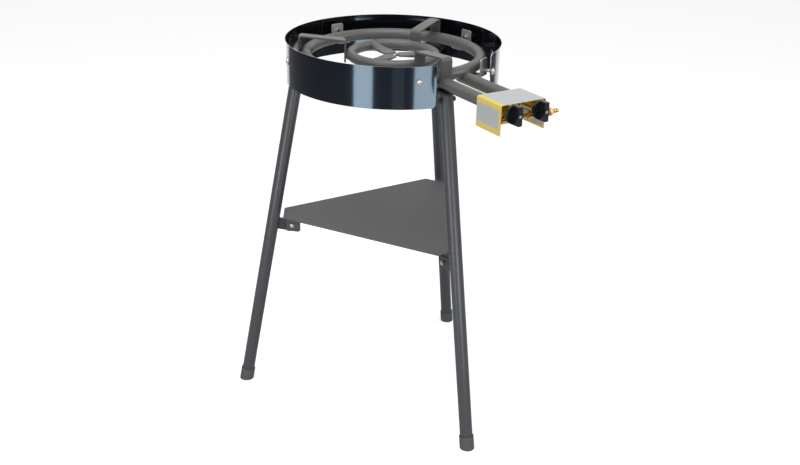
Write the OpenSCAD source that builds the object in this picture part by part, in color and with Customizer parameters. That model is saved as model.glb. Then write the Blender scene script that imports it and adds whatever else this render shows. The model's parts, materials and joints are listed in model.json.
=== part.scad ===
// Tripod gas burner: two ring burners in a wind guard, on three screwed-on legs with a shelf between them.
// Z is up and the origin is on the floor under the burner's centre. The taps point along -Y.
// Angles run anticlockwise from +X, seen from above. Lengths are millimetres.

/* [Stand] */
// Height of the tops of the legs
leg_top_z = 772; // [700:1:820]
// Lean of each leg from upright, in degrees
leg_lean = 10; // [6:0.5:12]
// Outer diameter of a leg tube
leg_d = 28; // [24:0.5:32]
// Wall of a leg tube
leg_wall = 1.5; // [1:0.1:2]
// Outer diameter of a rubber foot
foot_d = 32; // [30:0.5:36]
// Length of a rubber foot along its leg
foot_l = 30; // [22:1:40]
// Rubber between the leg's end and the floor, on the leg's axis
foot_floor = 6; // [5:0.5:9]

/* [Leg mounts] */
// Thickness of the plate that carries the burner on each leg
mount_t = 4; // [3:0.5:6]
// Width of that plate
mount_w = 36; // [30:1:44]
// Length of that plate, outwards
mount_l = 44; // [38:1:48]
// Wall of the spigot that enters the leg
spigot_wall = 2; // [1.5:0.1:3]
// Length of the spigot inside the leg
spigot_l = 55; // [45:1:80]
// Distance of the leg's bolt below the plate
leg_bolt_drop = 14; // [13:1:36]

/* [Rings] */
// Radius of the outer ring, to the middle of its tube
outer_ring_r = 186; // [180:1:195]
// Outer diameter of the outer ring's tube
outer_tube_d = 25; // [22:0.5:26]
// Radius of the inner ring, to the middle of its tube
inner_ring_r = 90; // [85:1:105]
// Outer diameter of the inner ring's tube
inner_tube_d = 22; // [20:0.5:24]
// Wall of both ring tubes
ring_wall = 2; // [1.5:0.1:2.5]
// Depth to which a ring is let in over its feed tube
ring_sink = 11.5; // [7:0.5:12]
// Outer diameter of a spoke tube where it leaves the inner ring
spoke_d = 19; // [14:0.5:20]
// Width of a spoke at its pinched end
spoke_tip_w = 30; // [24:1:34]
// Thickness of a spoke at its pinched end
spoke_tip_t = 4; // [3:0.5:6]
// Distance from the centre to the points of the spokes' pinched ends
spoke_tip_r = 4; // [3:0.5:12]

/* [Feed tubes] */
// Outer diameter of a feed tube
feed_d = 26; // [25:0.5:30]
// Wall of a feed tube
feed_wall = 1.5; // [1:0.1:2]
// Distance of the feed tubes' open ends in front of the centre
feed_mouth = 366; // [350:1:400]
// Place of the left feed tube, along X
feed_left_x = 0; // [-8:0.5:2]
// Spacing of the two feed tubes
feed_pitch = 62; // [60:0.5:66]
// Width of the air windows behind each mouth
air_window_w = 14; // [10:0.5:16]
// Length of the air windows
air_window_l = 15; // [10:0.5:18]

/* [Pan supports] */
// Height of the pan rest above the outer ring's tube
pan_rise = 28.5; // [24:0.5:34]
// Fall of the pan rest from its outer to its inner end
pan_fall = 9; // [4:0.5:12]
// Width of a support's flat bar
support_w = 25; // [20:0.5:28]
// Thickness of a support's flat bar
support_t = 4; // [3:0.5:5]
// Inner radius of a support's bends
support_bend = 4; // [3:0.5:6]
// Length of a support's inner leg below the middle of the rings
support_inner_drop = 16; // [8:0.5:17]

/* [Wind guard] */
// Gap between the outer ring and the wind guard
guard_gap = 31.5; // [28:0.5:36]
// Height of the wind guard
guard_h = 86; // [80:1:92]
// Height of the guard's rim above the middle of the rings
guard_rise = 35; // [30:0.5:38]
// Sheet of the wind guard
guard_t = 1; // [0.8:0.1:1.5]
// Radius of the guard's end corners
guard_corner = 9; // [5:0.5:12]
// Half-width of the opening that the feed tubes pass, in degrees, on its left
guard_open_left = 10.3; // [9:0.1:14]
// Half-width of that opening, in degrees, on its right
guard_open_right = 28; // [24:0.1:29]
// Angle at the back where the left half ends
guard_left_end = 88; // [86:0.1:90]
// Angle at the back where the right half ends, inside the left one
guard_right_end = 102.7; // [100:0.1:104]

/* [Guard clips] */
// Distance from the outer ring to the outer face of a clip
clip_reach = 16.5; // [15:0.5:18]
// Width of a clip
clip_w = 31; // [26:0.5:36]
// Thickness of a clip
clip_t = 2.5; // [2:0.1:3]
// Height of a clip's upright
clip_h = 39; // [34:0.5:44]
// Length of the tab under the ring
clip_tab = 32; // [28:0.5:36]
// Distance of the front left bolt below the guard's rim
front_left_drop = 32; // [28:0.5:38]
// Distance of the left bolt below the rim
left_drop = 34; // [28:0.5:38]
// Distance of the back and right bolts below the rim
back_drop = 27; // [22:0.5:38]
// Distance of the front right bolt below the rim
front_right_drop = 38; // [28:0.5:39]

/* [Shelf] */
// Height of the top of the shelf
shelf_z = 433; // [380:1:500]
// Sheet of the shelf
shelf_t = 1.5; // [1:0.1:2]
// Gap between a leg and the shelf's cut corner
shelf_leg_gap = 7.5; // [6:0.5:12]
// Depth of the flap under each corner
flap_h = 43; // [38:0.5:46]
// Length of a flap, along the bar that carries it
flap_l = 31; // [27:0.5:38]
// Thickness of a flap
flap_t = 2; // [1.5:0.1:3]
// Distance from a cut corner to where its flap begins
flap_inset = 6; // [4:0.5:8]
// Distance from a cut corner to its bolt
shelf_bolt_in = 18; // [16:0.5:21]
// Height of the bars welded to the legs
bracket_h = 28; // [22:0.5:30]
// Thickness of those bars
bracket_t = 3; // [2:0.1:3.5]
// Depth of a bar's middle on the leg's axis, below the shelf's top
bracket_drop = 23; // [21:0.5:25]

/* [Valve cover] */
// Gap between the left tap and the cover's left side
cover_left_gap = 10.8; // [9:0.1:14]
// Gap between the right tap and the cover's right side
cover_right_gap = 5.8; // [5:0.1:9]
// Length of the valve cover, along the feed tubes
cover_l = 76.5; // [74:0.5:90]
// Depth of the valve cover's sides
cover_h = 60; // [54:0.5:70]
// Sheet of the valve cover
cover_t = 1.2; // [0.8:0.1:1.5]
// Inner radius of its two bends
cover_bend = 2; // [1.5:0.1:4]
// Height of its top above the middle of the feed tubes
cover_rise = 17.5; // [16:0.5:30]
// Length of feed tube that it covers
cover_overlap = 27; // [18:0.5:30]

/* [Taps] */
// Outer diameter of a tap body
tap_d = 24; // [22:0.5:26]
// Length of a tap body
tap_l = 38; // [34:0.5:42]
// Diameter of the bore for the plug
plug_d = 14; // [13:0.1:15]
// Depth of that bore
plug_l = 24; // [23:0.5:26]
// Diameter of a spindle
spindle_d = 6; // [5:0.1:6.5]
// Travel of a knob when it is pushed in
push_travel = 2.5; // [1.5:0.1:3]
// Outer diameter of the gas rail
rail_d = 10; // [8:0.1:10]
// Depth of the gas rail behind the taps' front faces
rail_back = 13; // [13:0.5:16]
// Depth of the gas rail's middle below the taps' middle
rail_drop = 16.5; // [15.5:0.5:18]
// Size across the flats of a gland nut
gland_af = 17; // [15:0.5:18]
// Thickness of a gland nut
gland_t = 5; // [4:0.1:5.5]

/* [Knobs] */
// Diameter of a knob
knob_d = 38; // [34:0.5:41]
// Thickness of a knob's round skirt
knob_skirt_t = 6; // [4:0.5:8]
// Height of a knob's grip above the skirt
grip_h = 16; // [12:0.5:20]
// Width of a knob's grip
grip_w = 10; // [8:0.5:14]

/* [Hose nozzle] */
// Outer diameter of the hose barbs
barb_d = 8.5; // [8:0.1:11]
// Length of the barbed end
barb_l = 18; // [14:1:30]
// Number of barbs
barbs = 2; // [2:1:6]
// Length of the neck between the cover and the nozzle's hexagon
nozzle_neck_l = 17; // [10:1:24]

/* [Hidden] */
$fn = 96;

// Clearances: fit between a fixed pin and its hole, running fit, bolt in its hole, seat of a welded piece, and
// gap between the front right clip and the feed tube
slip = 0.05;
run = 0.05;
bolt_gap = 0.1;
weld_gap = 0.05;
feed_clip_gap = 1;
over = 1;

// Legs and the three directions that they stand in
leg_front_angle = 270;
leg_right_angle = 30;
leg_left_angle = 150;
leg_angles = [leg_front_angle, leg_right_angle, leg_left_angle];
ring_out_r = outer_ring_r + outer_tube_d / 2;
leg_outset = 4.3;
leg_top_r = ring_out_r + leg_outset;
foot_circle_r = leg_top_r + leg_top_z * tan(leg_lean);
leg_in_d = leg_d - 2 * leg_wall;
foot_bore_d = leg_d + 2 * slip;
spigot_d = leg_in_d - 2 * slip;
mount_corner = 6;
bolt_d = 6;
bolt_hole_d = bolt_d + 2 * bolt_gap;
bolt_head_af = 10;
bolt_head_t = 4;
nut_t = 5;
leg_bolt_tail = 2;

// Heights of the burner, from the mount plates up
mount_top_z = leg_top_z + mount_t;
feed_z = mount_top_z + feed_d / 2;
ring_z = feed_z + feed_d / 2 + outer_tube_d / 2 - ring_sink;
pan_z = ring_z + outer_tube_d / 2 + pan_rise;
rim_z = ring_z + guard_rise;
guard_z = rim_z - guard_h;
guard_r = ring_out_r + guard_gap + guard_t;
guard_in_r = guard_r - guard_t - slip;

// Spokes, ports of the feed tubes and their ends
spoke_angles = [90, 210, 330];
spoke_tip_l = 6;
feed_right_x = feed_left_x + feed_pitch;
feed_cap_t = 2;
feed_port_d = 16;
mouth_t = 4;
left_end_y = sqrt(pow(inner_ring_r, 2) - pow(feed_left_x, 2)) - inner_tube_d / 2;
right_end_y = sqrt(pow(outer_ring_r, 2) - pow(feed_right_x, 2)) - outer_tube_d / 2;

// Pan supports
inner_out_r = inner_ring_r + inner_tube_d / 2;
support_out_r = ring_out_r + weld_gap + support_t;
support_in_r = inner_out_r + weld_gap;
inner_leg_z = ring_z - support_inner_drop;
front_leg_z = feed_z + feed_d / 8;

// Guard bolts and clips, with an angle for each
guard_from = 270 - guard_open_left;
guard_to = 270 + guard_open_right;
clip_front_left_angle = guard_from - 8.7;
clip_left_angle = 167;
clip_back_angle = 95;
clip_right_angle = 8;
clip_front_right_angle = guard_to + 2.5;
front_right_turn = 2.4;
clips = [
    [clip_front_left_angle, front_left_drop], [clip_left_angle, left_drop], [clip_back_angle, back_drop],
    [clip_right_angle, back_drop], [clip_front_right_angle, front_right_drop]];
clip_r = ring_out_r + clip_reach;
clip_top_z = ring_z - outer_tube_d / 2 - weld_gap;
clip_z = clip_top_z - clip_t;
clip_corner = 5;
clip_bend = 1.5;
guard_head_d = 11;
guard_head_h = 4;
washer_d = 16;
washer_t = 1.2;
clip_nut_t = 4;
guard_nut_t = 4;
guard_bolt_tail = 1;

// Shelf, its flaps and the bars that carry it
half_corner_angle = 30;
shelf_leg_r = foot_circle_r - shelf_z * tan(leg_lean);
shelf_side_gap = 1.2;
shelf_edge = shelf_leg_r * sin(half_corner_angle) + leg_d / 2 + shelf_side_gap;
shelf_cut_r = shelf_leg_r - leg_d / 2 - shelf_leg_gap;
shelf_cut_half = (2 * shelf_edge - shelf_cut_r) * tan(half_corner_angle);
shelf_corner = 4;
flap_bend = 1;
flap_strip = 12;
flap_corner = 3;
flap_top = shelf_z - shelf_t;
bracket_z = shelf_z - bracket_drop;
bracket_leg_r = foot_circle_r - bracket_z * tan(leg_lean);
shelf_bolt_reach = (bracket_leg_r - shelf_cut_r + shelf_bolt_in) / cos(leg_lean);
bracket_end = 18;
shelf_head_d = 11;
shelf_head_h = 3.5;
shelf_bolt_tail = 2;

// Valve cover and its stay
cover_back_y = feed_mouth - cover_overlap;
cover_left_x = feed_left_x - tap_d / 2 - cover_left_gap - cover_t;
cover_right_x = feed_right_x + tap_d / 2 + cover_right_gap + cover_t;
cover_z = feed_z + cover_rise;
stay_l = 10;
stay_end = 10;
stay_y = cover_back_y + 4;

// Taps: distances run forwards from the front face of a tap body
jet_gap = 11;
tap_face = feed_mouth + jet_gap + tap_l;
plug_bore_d = plug_d;
plug_r = plug_d / 2 - run;
plug_back_gap = 0.1;
plug_front_gap = 0.3;
pocket_d = 10;
pocket_l = 11;
port_d = 4;
riser_d = 3.4;
slot_w = spindle_d / 2 + 0.2;
slot_l = 8;
tang_w = spindle_d / 2;
slot_depth = push_travel + 4;
tang_end_gap = 0.5;
tang_l = slot_depth - push_travel - tang_end_gap;
shaft_end_gap = 0.4;
shaft_back = pocket_l - push_travel - shaft_end_gap;
collar_d = pocket_d - 0.4;
collar_t = 2;
collar_front = 0.35;
collar_back = collar_front + collar_t;
spring_wire = 0.8;
spring_d = 9;
spring_turns = 4;
boss_d = 15;
boss_neck_d = 13;
boss_share = 0.3;
boss_x = tap_d / 2 + boss_share * cover_right_gap;
rail_bore_in = plug_d / 2 + 1;
rail_wall = 1;
jet_shank_d = 7;
jet_shank_l = 7;
jet_bore_l = 8;
jet_neck_d = 5;
jet_hex_af = 11;
jet_hex_t = 6;
jet_barrel_d = 8;
jet_tip_l = 3;
jet_tip_d = 5;
jet_hole_d = 1.5;
jet_in = 7;
rail_plug_l = boss_x + slip - rail_bore_in;
rail_plug_af = 12;
plug_head_share = 0.5;
rail_plug_head = plug_head_share * cover_left_gap;

// Knobs and spindles
knob_lift = 1;
knob_back = gland_t + knob_lift;
knob_recess_d = 26;
knob_web = 6;
knob_top = knob_back + knob_skirt_t + grip_h;
spindle_top = knob_top - knob_web;
flat_share = 0.75;
edge_round = 1.5;
screw_d = 3;
screw_head_d = 5.6;
screw_head_t = 1.8;
screw_l = 12;

// Hose nozzle and its lock nut
boss_end_x = feed_right_x + boss_x;
nozzle_wall_in = cover_right_x - cover_t;
nozzle_hex_af = 14;
nozzle_hex_t = 6;
nozzle_collar_d = 16;
nozzle_collar_t = 3;
nozzle_bore_d = 5;
barb_root_d = barb_d - 2;

// Distance along a leg's axis from the floor to a height
function along_leg(z) = z / cos(leg_lean);

// Outer radius of a hexagon from its size across the flats
function hex_r(af) = af / (2 * cos(30));

// Unit normal on the left of the way from a to b
function left_of(a, b) = [a.y - b.y, b.x - a.x] / norm(b - a);

// The points of an arc that rounds corner p, between its neighbours a and b
function corner_arc(a, p, b, r, steps = 8) =
    let (
        u = (a - p) / norm(a - p),
        v = (b - p) / norm(b - p),
        half = acos(u * v) / 2,
        c = p + (u + v) / norm(u + v) * r / sin(half),
        s = p + u * r / tan(half) - c,
        e = p + v * r / tan(half) - c,
        from = atan2(s.y, s.x),
        turn = (atan2(e.y, e.x) - from + 540) % 360 - 180)
    [for (i = [0:steps]) c + r * [cos(from + turn * i / steps), sin(from + turn * i / steps)]];

// An outline with each corner rounded by its own radius
function rounded(points, radii) =
    let (n = len(points))
    [for (i = [0:n - 1])
        each radii[i] > 0
            ? corner_arc(points[(i + n - 1) % n], points[i], points[(i + 1) % n], radii[i])
            : [points[i]]];

// The same path moved to its left by t
function moved_left(points, t) =
    let (last = len(points) - 1)
    [for (i = [0:last])
        let (
            n1 = left_of(points[max(i - 1, 0)], points[max(i, 1)]),
            n2 = left_of(points[min(i, last - 1)], points[min(i + 1, last)]))
        points[i] + t * (n1 + n2) / (1 + n1 * n2)];

// Outline of a bent strip: the path is one face, the strip lies on its left, and r is the inner radius
function bent_strip(points, t, r) =
    let (
        last = len(points) - 1,
        other = moved_left(points, t),
        left_turn = [for (i = [0:last])
            i == 0 || i == last ? undef : cross(points[i] - points[i - 1], points[i + 1] - points[i]) > 0],
        near = [for (k = left_turn) is_undef(k) ? 0 : k ? r + t : r],
        far = [for (k = left_turn) is_undef(k) ? 0 : k ? r : r + t],
        back = rounded(other, far))
    concat(rounded(points, near), [for (i = [len(back) - 1:-1:0]) back[i]]);

// Points of a rectangle with rounded corners, centred
function plate(l, w, r) =
    rounded([[-l / 2, -w / 2], [l / 2, -w / 2], [l / 2, w / 2], [-l / 2, w / 2]], [r, r, r, r]);

// Turns a profile in radius and height to an angle, and gives it a width
module standing(a, w) {
    rotate([0, 0, a])
        rotate([90, 0, 0])
            linear_extrude(w, center = true)
                children();
}

// A place on a leg's axis, with Z along the leg and Y across it
module on_leg(a, z = 0) {
    rotate([0, 0, a])
        translate([foot_circle_r, 0, 0])
            rotate([0, -leg_lean, 0])
                translate([0, 0, along_leg(z)])
                    children();
}

// The bolt line across a leg
module leg_bolt_line(a) {
    on_leg(a, leg_top_z - leg_bolt_drop)
        rotate([90, 0, 0])
            children();
}

// A hexagon head or nut that stands on the XY plane
module hexagon(af, h) {
    cylinder(r = hex_r(af), h = h, $fn = 6);
}

// A round tube along Z
module tube(d, wall, h) {
    difference() {
        cylinder(d = d, h = h);
        translate([0, 0, -over])
            cylinder(d = d - 2 * wall, h = h + 2 * over);
    }
}

// What a quarter round leaves of a square corner, to cut a plate's corner along Z
module corner_cut(r, h, steps = 8) {
    arc = [for (i = [0:steps]) [r, r] + r * [cos(270 - 90 * i / steps), sin(270 - 90 * i / steps)]];
    before = 2 * arc[0] - arc[1];
    after = 2 * arc[steps] - arc[steps - 1];
    linear_extrude(h)
        polygon(concat(
            [[-r, -r], [before.x, -r], before], [for (i = [1:steps - 1]) arc[i]], [after, [-r, after.y]]));
}

// A leg is a tube cut level at the top
module leg(a) {
    color("#33363c")
        difference() {
            on_leg(a)
                translate([0, 0, foot_floor])
                    tube(leg_d, leg_wall, along_leg(leg_top_z) + leg_d - foot_floor);
            rotate([0, 0, a])
                translate([leg_top_r - leg_d * 2, -leg_d, leg_top_z])
                    cube([leg_d * 4, leg_d * 2, leg_d * 3]);
            leg_bolt_line(a)
                cylinder(d = bolt_hole_d, h = leg_d + 2 * over, center = true);
        }
}

// A rubber foot, cut level where it stands
module foot(a) {
    color("#2b2b2d")
        difference() {
            on_leg(a)
                difference() {
                    translate([0, 0, -foot_d * tan(leg_lean)])
                        cylinder(d = foot_d, h = foot_l + foot_d * tan(leg_lean));
                    translate([0, 0, foot_floor])
                        cylinder(d = foot_bore_d, h = foot_l);
                }
            rotate([0, 0, a])
                translate([foot_circle_r - foot_d, -foot_d, -foot_d])
                    cube([foot_d * 2, foot_d * 2, foot_d]);
        }
}

// A plate that the burner stands on, with a spigot that enters the leg
module leg_mount(a) {
    color("#2f3136") {
        difference() {
            union() {
                rotate([0, 0, a])
                    translate([leg_top_r, 0, leg_top_z])
                        linear_extrude(mount_t)
                            polygon(plate(mount_l, mount_w, mount_corner));
                on_leg(a, leg_top_z + mount_t / 2)
                    translate([0, 0, -spigot_l])
                        cylinder(d = spigot_d, h = spigot_l);
            }
            on_leg(a, leg_top_z - mount_t / 2)
                translate([0, 0, -spigot_l - over])
                    cylinder(d = spigot_d - 2 * spigot_wall, h = spigot_l + over);
            leg_bolt_line(a)
                cylinder(d = bolt_hole_d, h = leg_d, center = true);
        }
    }
}

// The bolts that hold the legs, with their heads on the left
module leg_bolts() {
    shank_l = leg_d + nut_t + leg_bolt_tail;
    color("#c9cccf")
        for (a = leg_angles)
            leg_bolt_line(a)
                translate([0, 0, leg_d / 2]) {
                    hexagon(bolt_head_af, bolt_head_t);
                    translate([0, 0, -shank_l])
                        cylinder(d = bolt_d, h = shank_l);
                }
}

// A nut with a clearance hole, on the XY plane
module nut(af, h) {
    difference() {
        hexagon(af, h);
        translate([0, 0, -over])
            cylinder(d = bolt_d + 2 * slip, h = h + 2 * over);
    }
}

module leg_nuts() {
    color("#c9cccf")
        for (a = leg_angles)
            leg_bolt_line(a)
                translate([0, 0, -leg_d / 2 - nut_t])
                    nut(bolt_head_af, nut_t);
}

// A ring tube lying flat round the centre
module ring_tube(r, d) {
    translate([0, 0, ring_z])
        rotate_extrude()
            translate([r, 0])
                circle(d = d, $fn = 48);
}

// The outside of a feed tube, from its mouth back to a distance, with a gap round it
module feed_outside(x, end_y, gap) {
    translate([x, -end_y, feed_z])
        rotate([90, 0, 0])
            cylinder(d = feed_d + 2 * gap, h = feed_mouth - end_y);
}

module outer_ring() {
    color("#6b6863")
        difference() {
            ring_tube(outer_ring_r, outer_tube_d);
            ring_tube(outer_ring_r, outer_tube_d - 2 * ring_wall);
            feed_outside(feed_left_x, left_end_y, weld_gap);
            translate([feed_right_x, -right_end_y - outer_tube_d / 2, feed_z])
                cylinder(d = feed_port_d, h = ring_z - feed_z);
        }
}

// A spoke is a tube that is pinched flat towards the centre and cut to a point between its neighbours
module spoke(a) {
    shoulder = spoke_tip_r + spoke_tip_w / (2 * tan(180 / len(spoke_angles)));
    rotate([0, 0, a])
        translate([0, 0, ring_z])
            hull() {
                translate([0, 0, -spoke_tip_t / 2])
                    linear_extrude(spoke_tip_t)
                        polygon([
                            [spoke_tip_r, 0], [shoulder, -spoke_tip_w / 2], [shoulder + spoke_tip_l, -spoke_tip_w / 2],
                            [shoulder + spoke_tip_l, spoke_tip_w / 2], [shoulder, spoke_tip_w / 2]]);
                translate([inner_ring_r - inner_tube_d / 2, 0, 0])
                    rotate([0, 90, 0])
                        cylinder(d = spoke_d, h = ring_wall, $fn = 32);
            }
}

module inner_ring() {
    color("#6b6863") {
        difference() {
            union() {
                ring_tube(inner_ring_r, inner_tube_d);
                for (a = spoke_angles)
                    spoke(a);
            }
            ring_tube(inner_ring_r, inner_tube_d - 2 * ring_wall);
            translate([feed_left_x, -left_end_y - inner_tube_d / 2, feed_z])
                cylinder(d = feed_port_d, h = ring_z - feed_z);
        }
    }
}

// A feed tube: gas enters at its mouth with air from two windows, and leaves under its ring
module feed_tube(x, end_y, r, d) {
    color("#6b6863")
        difference() {
            feed_outside(x, end_y, 0);
            translate([x, -end_y - feed_cap_t, feed_z])
                rotate([90, 0, 0])
                    cylinder(d = feed_d - 2 * feed_wall, h = feed_mouth - mouth_t - end_y - feed_cap_t);
            translate([x, -feed_mouth + mouth_t + over, feed_z])
                rotate([90, 0, 0])
                    cylinder(d = jet_barrel_d + 2 * slip, h = mouth_t + 2 * over);
            translate([x - feed_d, -feed_mouth + mouth_t, feed_z - air_window_w / 2])
                cube([feed_d * 2, air_window_l, air_window_w]);
            ring_tube(r, d + 2 * weld_gap);
        }
}

// A support is one flat bar with two legs, welded to the outside of each ring
module pan_support(a, outer_leg_z, inner_z) {
    path = [
        [support_out_r, outer_leg_z], [support_out_r, pan_z],
        [support_in_r, pan_z - pan_fall], [support_in_r, inner_z]];
    color("#6f6c67")
        standing(a, support_w)
            polygon(bent_strip(path, support_t, support_bend));
}

// The front support stands on the left feed tube
module pan_support_front() {
    color("#6f6c67")
        difference() {
            pan_support(leg_front_angle, front_leg_z, front_leg_z);
            feed_outside(feed_left_x, left_end_y, weld_gap);
        }
}

// A place on the bolt line of a clip, which holds an angle and a drop, with Z outwards
module guard_bolt_line(clip, r) {
    rotate([0, 0, clip[0]])
        translate([r, 0, rim_z - clip[1]])
            rotate([0, 90, 0])
                children();
}

// The two corners of a guard end at an angle, where the sheet lies on one side
module guard_end(a, r, side) {
    rotate([0, 0, a])
        for (up = [0, 1])
            translate([r - 3 * guard_t, 0, up ? rim_z : guard_z])
                mirror([0, 0, up])
                    mirror([0, side < 0 ? 1 : 0, 0])
                        rotate([90, 0, 90])
                            corner_cut(guard_corner, 5 * guard_t);
}

// Half of the guard, a rolled sheet with rounded end corners and bolt holes
module guard_half(r, from, to, bolts) {
    color("#15181d")
        difference() {
            rotate([0, 0, from])
                translate([0, 0, guard_z])
                    rotate_extrude(angle = to - from, $fn = 192)
                        translate([r - guard_t, 0])
                            square([guard_t, guard_h]);
            guard_end(from, r, 1);
            guard_end(to, r, -1);
            for (k = bolts)
                guard_bolt_line(clips[k], r - 3 * guard_t)
                    cylinder(d = bolt_hole_d, h = 5 * guard_t);
        }
}

module guard_left() {
    guard_half(guard_r, guard_left_end, guard_from, [0, 1, 2]);
}

module guard_right() {
    guard_half(guard_in_r, guard_to - 360, guard_right_end, [2, 3, 4]);
}

// A clip is an angle: its tab is welded under the outer ring and its upright holds a bolt.
// The tab of the front right one is notched for the feed tube beside it
module guard_clip(k) {
    a = clips[k][0] - (k == 4 ? front_right_turn : 0);
    color("#b9b7b0")
        difference() {
            standing(a, clip_w)
                polygon(bent_strip(
                    [[clip_r - clip_tab, clip_z], [clip_r, clip_z], [clip_r, clip_z + clip_h]], clip_t, clip_bend));
            rotate([0, 0, a])
                for (side = [0, 1])
                    mirror([0, side, 0])
                        translate([clip_r - 2 * clip_t, -clip_w / 2, clip_z + clip_h])
                            mirror([0, 0, 1])
                                rotate([90, 0, 90])
                                    corner_cut(clip_corner, 3 * clip_t);
            guard_bolt_line(clips[k], clip_r - 2 * clip_t)
                cylinder(d = bolt_hole_d, h = 3 * clip_t);
            if (k == 4)
                feed_outside(feed_right_x, right_end_y, feed_clip_gap);
        }
}

// Radius of the guard's outside at a clip: the right half lies inside the left one at the back
function guard_face(k) = k > 2 ? guard_in_r : guard_r;

// Radius of the guard's inside at a clip
function guard_back(k) = (k < 2 ? guard_r : guard_in_r) - guard_t;

// Domed bolts through the guard and the clips
module guard_bolts() {
    dome_r = (pow(guard_head_d / 2, 2) + pow(guard_head_h, 2)) / (2 * guard_head_h);
    color("#d5d7d9")
        for (k = [0:len(clips) - 1]) {
            seat = guard_face(k) + washer_t;
            tail = clip_r - clip_t - clip_nut_t - guard_bolt_tail;
            guard_bolt_line(clips[k], seat)
                intersection() {
                    translate([0, 0, guard_head_h - dome_r])
                        sphere(r = dome_r, $fn = 48);
                    cylinder(d = guard_head_d, h = guard_head_h + over);
                }
            guard_bolt_line(clips[k], tail)
                cylinder(d = bolt_d, h = seat - tail);
        }
}

module guard_washers() {
    color("#d5d7d9")
        for (k = [0:len(clips) - 1])
            guard_bolt_line(clips[k], guard_face(k))
                difference() {
                    cylinder(d = washer_d, h = washer_t);
                    translate([0, 0, -over])
                        cylinder(d = bolt_d + 2 * slip, h = washer_t + 2 * over);
                }
}

// One nut holds the guard and another holds the clip
module guard_nuts() {
    color("#c9cccf")
        for (k = [0:len(clips) - 1]) {
            guard_bolt_line(clips[k], guard_back(k) - sheet_bow(guard_back(k)) - guard_nut_t)
                nut(bolt_head_af, guard_nut_t);
            guard_bolt_line(clips[k], clip_r - clip_t - clip_nut_t)
                nut(bolt_head_af, clip_nut_t);
        }
}

// How far a nut's corners stand off the inside of a sheet that is rolled to a radius
function sheet_bow(r) = r - sqrt(pow(r, 2) - pow(hex_r(bolt_head_af), 2));

// The bolt line through a flap and its bar, with Z outwards from the flap's face
module shelf_bolt_line(a) {
    on_leg(a, bracket_z)
        translate([-shelf_bolt_reach, slip + flap_t, 0])
            rotate([-90, 0, 0])
                children();
}

// A triangle with its corners cut short at the legs and an angle welded under each corner
module shelf() {
    outline = [for (a = [leg_right_angle, leg_left_angle, leg_front_angle], w = [-shelf_cut_half, shelf_cut_half])
        [shelf_cut_r * cos(a) - w * sin(a), shelf_cut_r * sin(a) + w * cos(a)]];
    flap_to = shelf_cut_r - flap_inset;
    flap_from = flap_to - flap_l;
    color("#4b4c4f")
        difference() {
            union() {
                translate([0, 0, flap_top])
                    linear_extrude(shelf_t)
                        polygon(rounded(outline, [for (p = outline) shelf_corner]));
                for (a = leg_angles)
                    rotate([0, 0, a]) {
                        // The weld that joins the flap's strip to the sheet above it
                        translate([flap_from + flap_corner, slip + flap_t + flap_bend, flap_top - flap_t / 2])
                            cube([flap_l - 2 * flap_corner, flap_strip - flap_t - 2 * flap_bend,
                                (flap_t + shelf_t) / 2]);
                        intersection() {
                            translate([flap_from, 0, 0])
                                rotate([90, 0, 90])
                                    linear_extrude(flap_l)
                                        polygon(bent_strip(
                                            [[slip + flap_strip, flap_top], [slip, flap_top],
                                                [slip, flap_top - flap_h]],
                                            flap_t, flap_bend));
                            translate([0, 2 * flap_strip, 0])
                                rotate([90, 0, 0])
                                    linear_extrude(3 * flap_strip)
                                        polygon(rounded(
                                            [[flap_from, flap_top - flap_h], [flap_to, flap_top - flap_h],
                                                [flap_to, shelf_z], [flap_from, shelf_z]],
                                            [flap_corner, flap_corner, 0, 0]));
                        }
                    }
            }
            for (a = leg_angles)
                shelf_bolt_line(a)
                    cylinder(d = bolt_hole_d, h = 4 * flap_t, center = true);
        }
}

// A flat bar welded square to its leg, pointing inwards beside the flap
module shelf_bracket(a) {
    reach = shelf_bolt_reach + bracket_end;
    color("#33363c")
        difference() {
            on_leg(a, bracket_z)
                rotate([90, 0, 0])
                    linear_extrude(bracket_t)
                        polygon(rounded(
                            [[-reach, -bracket_h / 2], [0, -bracket_h / 2], [0, bracket_h / 2], [-reach, bracket_h / 2]],
                            [flap_corner, 0, 0, flap_corner]));
            on_leg(a)
                cylinder(d = leg_d + 2 * weld_gap, h = along_leg(leg_top_z));
            shelf_bolt_line(a)
                translate([0, 0, -flap_t - slip - bracket_t - over])
                    cylinder(d = bolt_hole_d, h = bracket_t + 2 * over);
        }
}

module shelf_bolts() {
    shank_l = flap_t + slip + bracket_t + nut_t + shelf_bolt_tail;
    dome_r = (pow(shelf_head_d / 2, 2) + pow(shelf_head_h, 2)) / (2 * shelf_head_h);
    color("#d5d7d9")
        for (a = leg_angles)
            shelf_bolt_line(a) {
                intersection() {
                    translate([0, 0, shelf_head_h - dome_r])
                        sphere(r = dome_r, $fn = 48);
                    cylinder(d = shelf_head_d, h = shelf_head_h + over);
                }
                translate([0, 0, -shank_l])
                    cylinder(d = bolt_d, h = shank_l);
            }
}

module shelf_nuts() {
    color("#c9cccf")
        for (a = leg_angles)
            shelf_bolt_line(a)
                translate([0, 0, -flap_t - slip - bracket_t - nut_t])
                    nut(bolt_head_af, nut_t);
}

// Gives an outline in X and Z a length forwards, from a distance in front of the centre
module forwards(from, l) {
    translate([0, -from, 0])
        rotate([90, 0, 0])
            linear_extrude(l)
                children();
}

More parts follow.
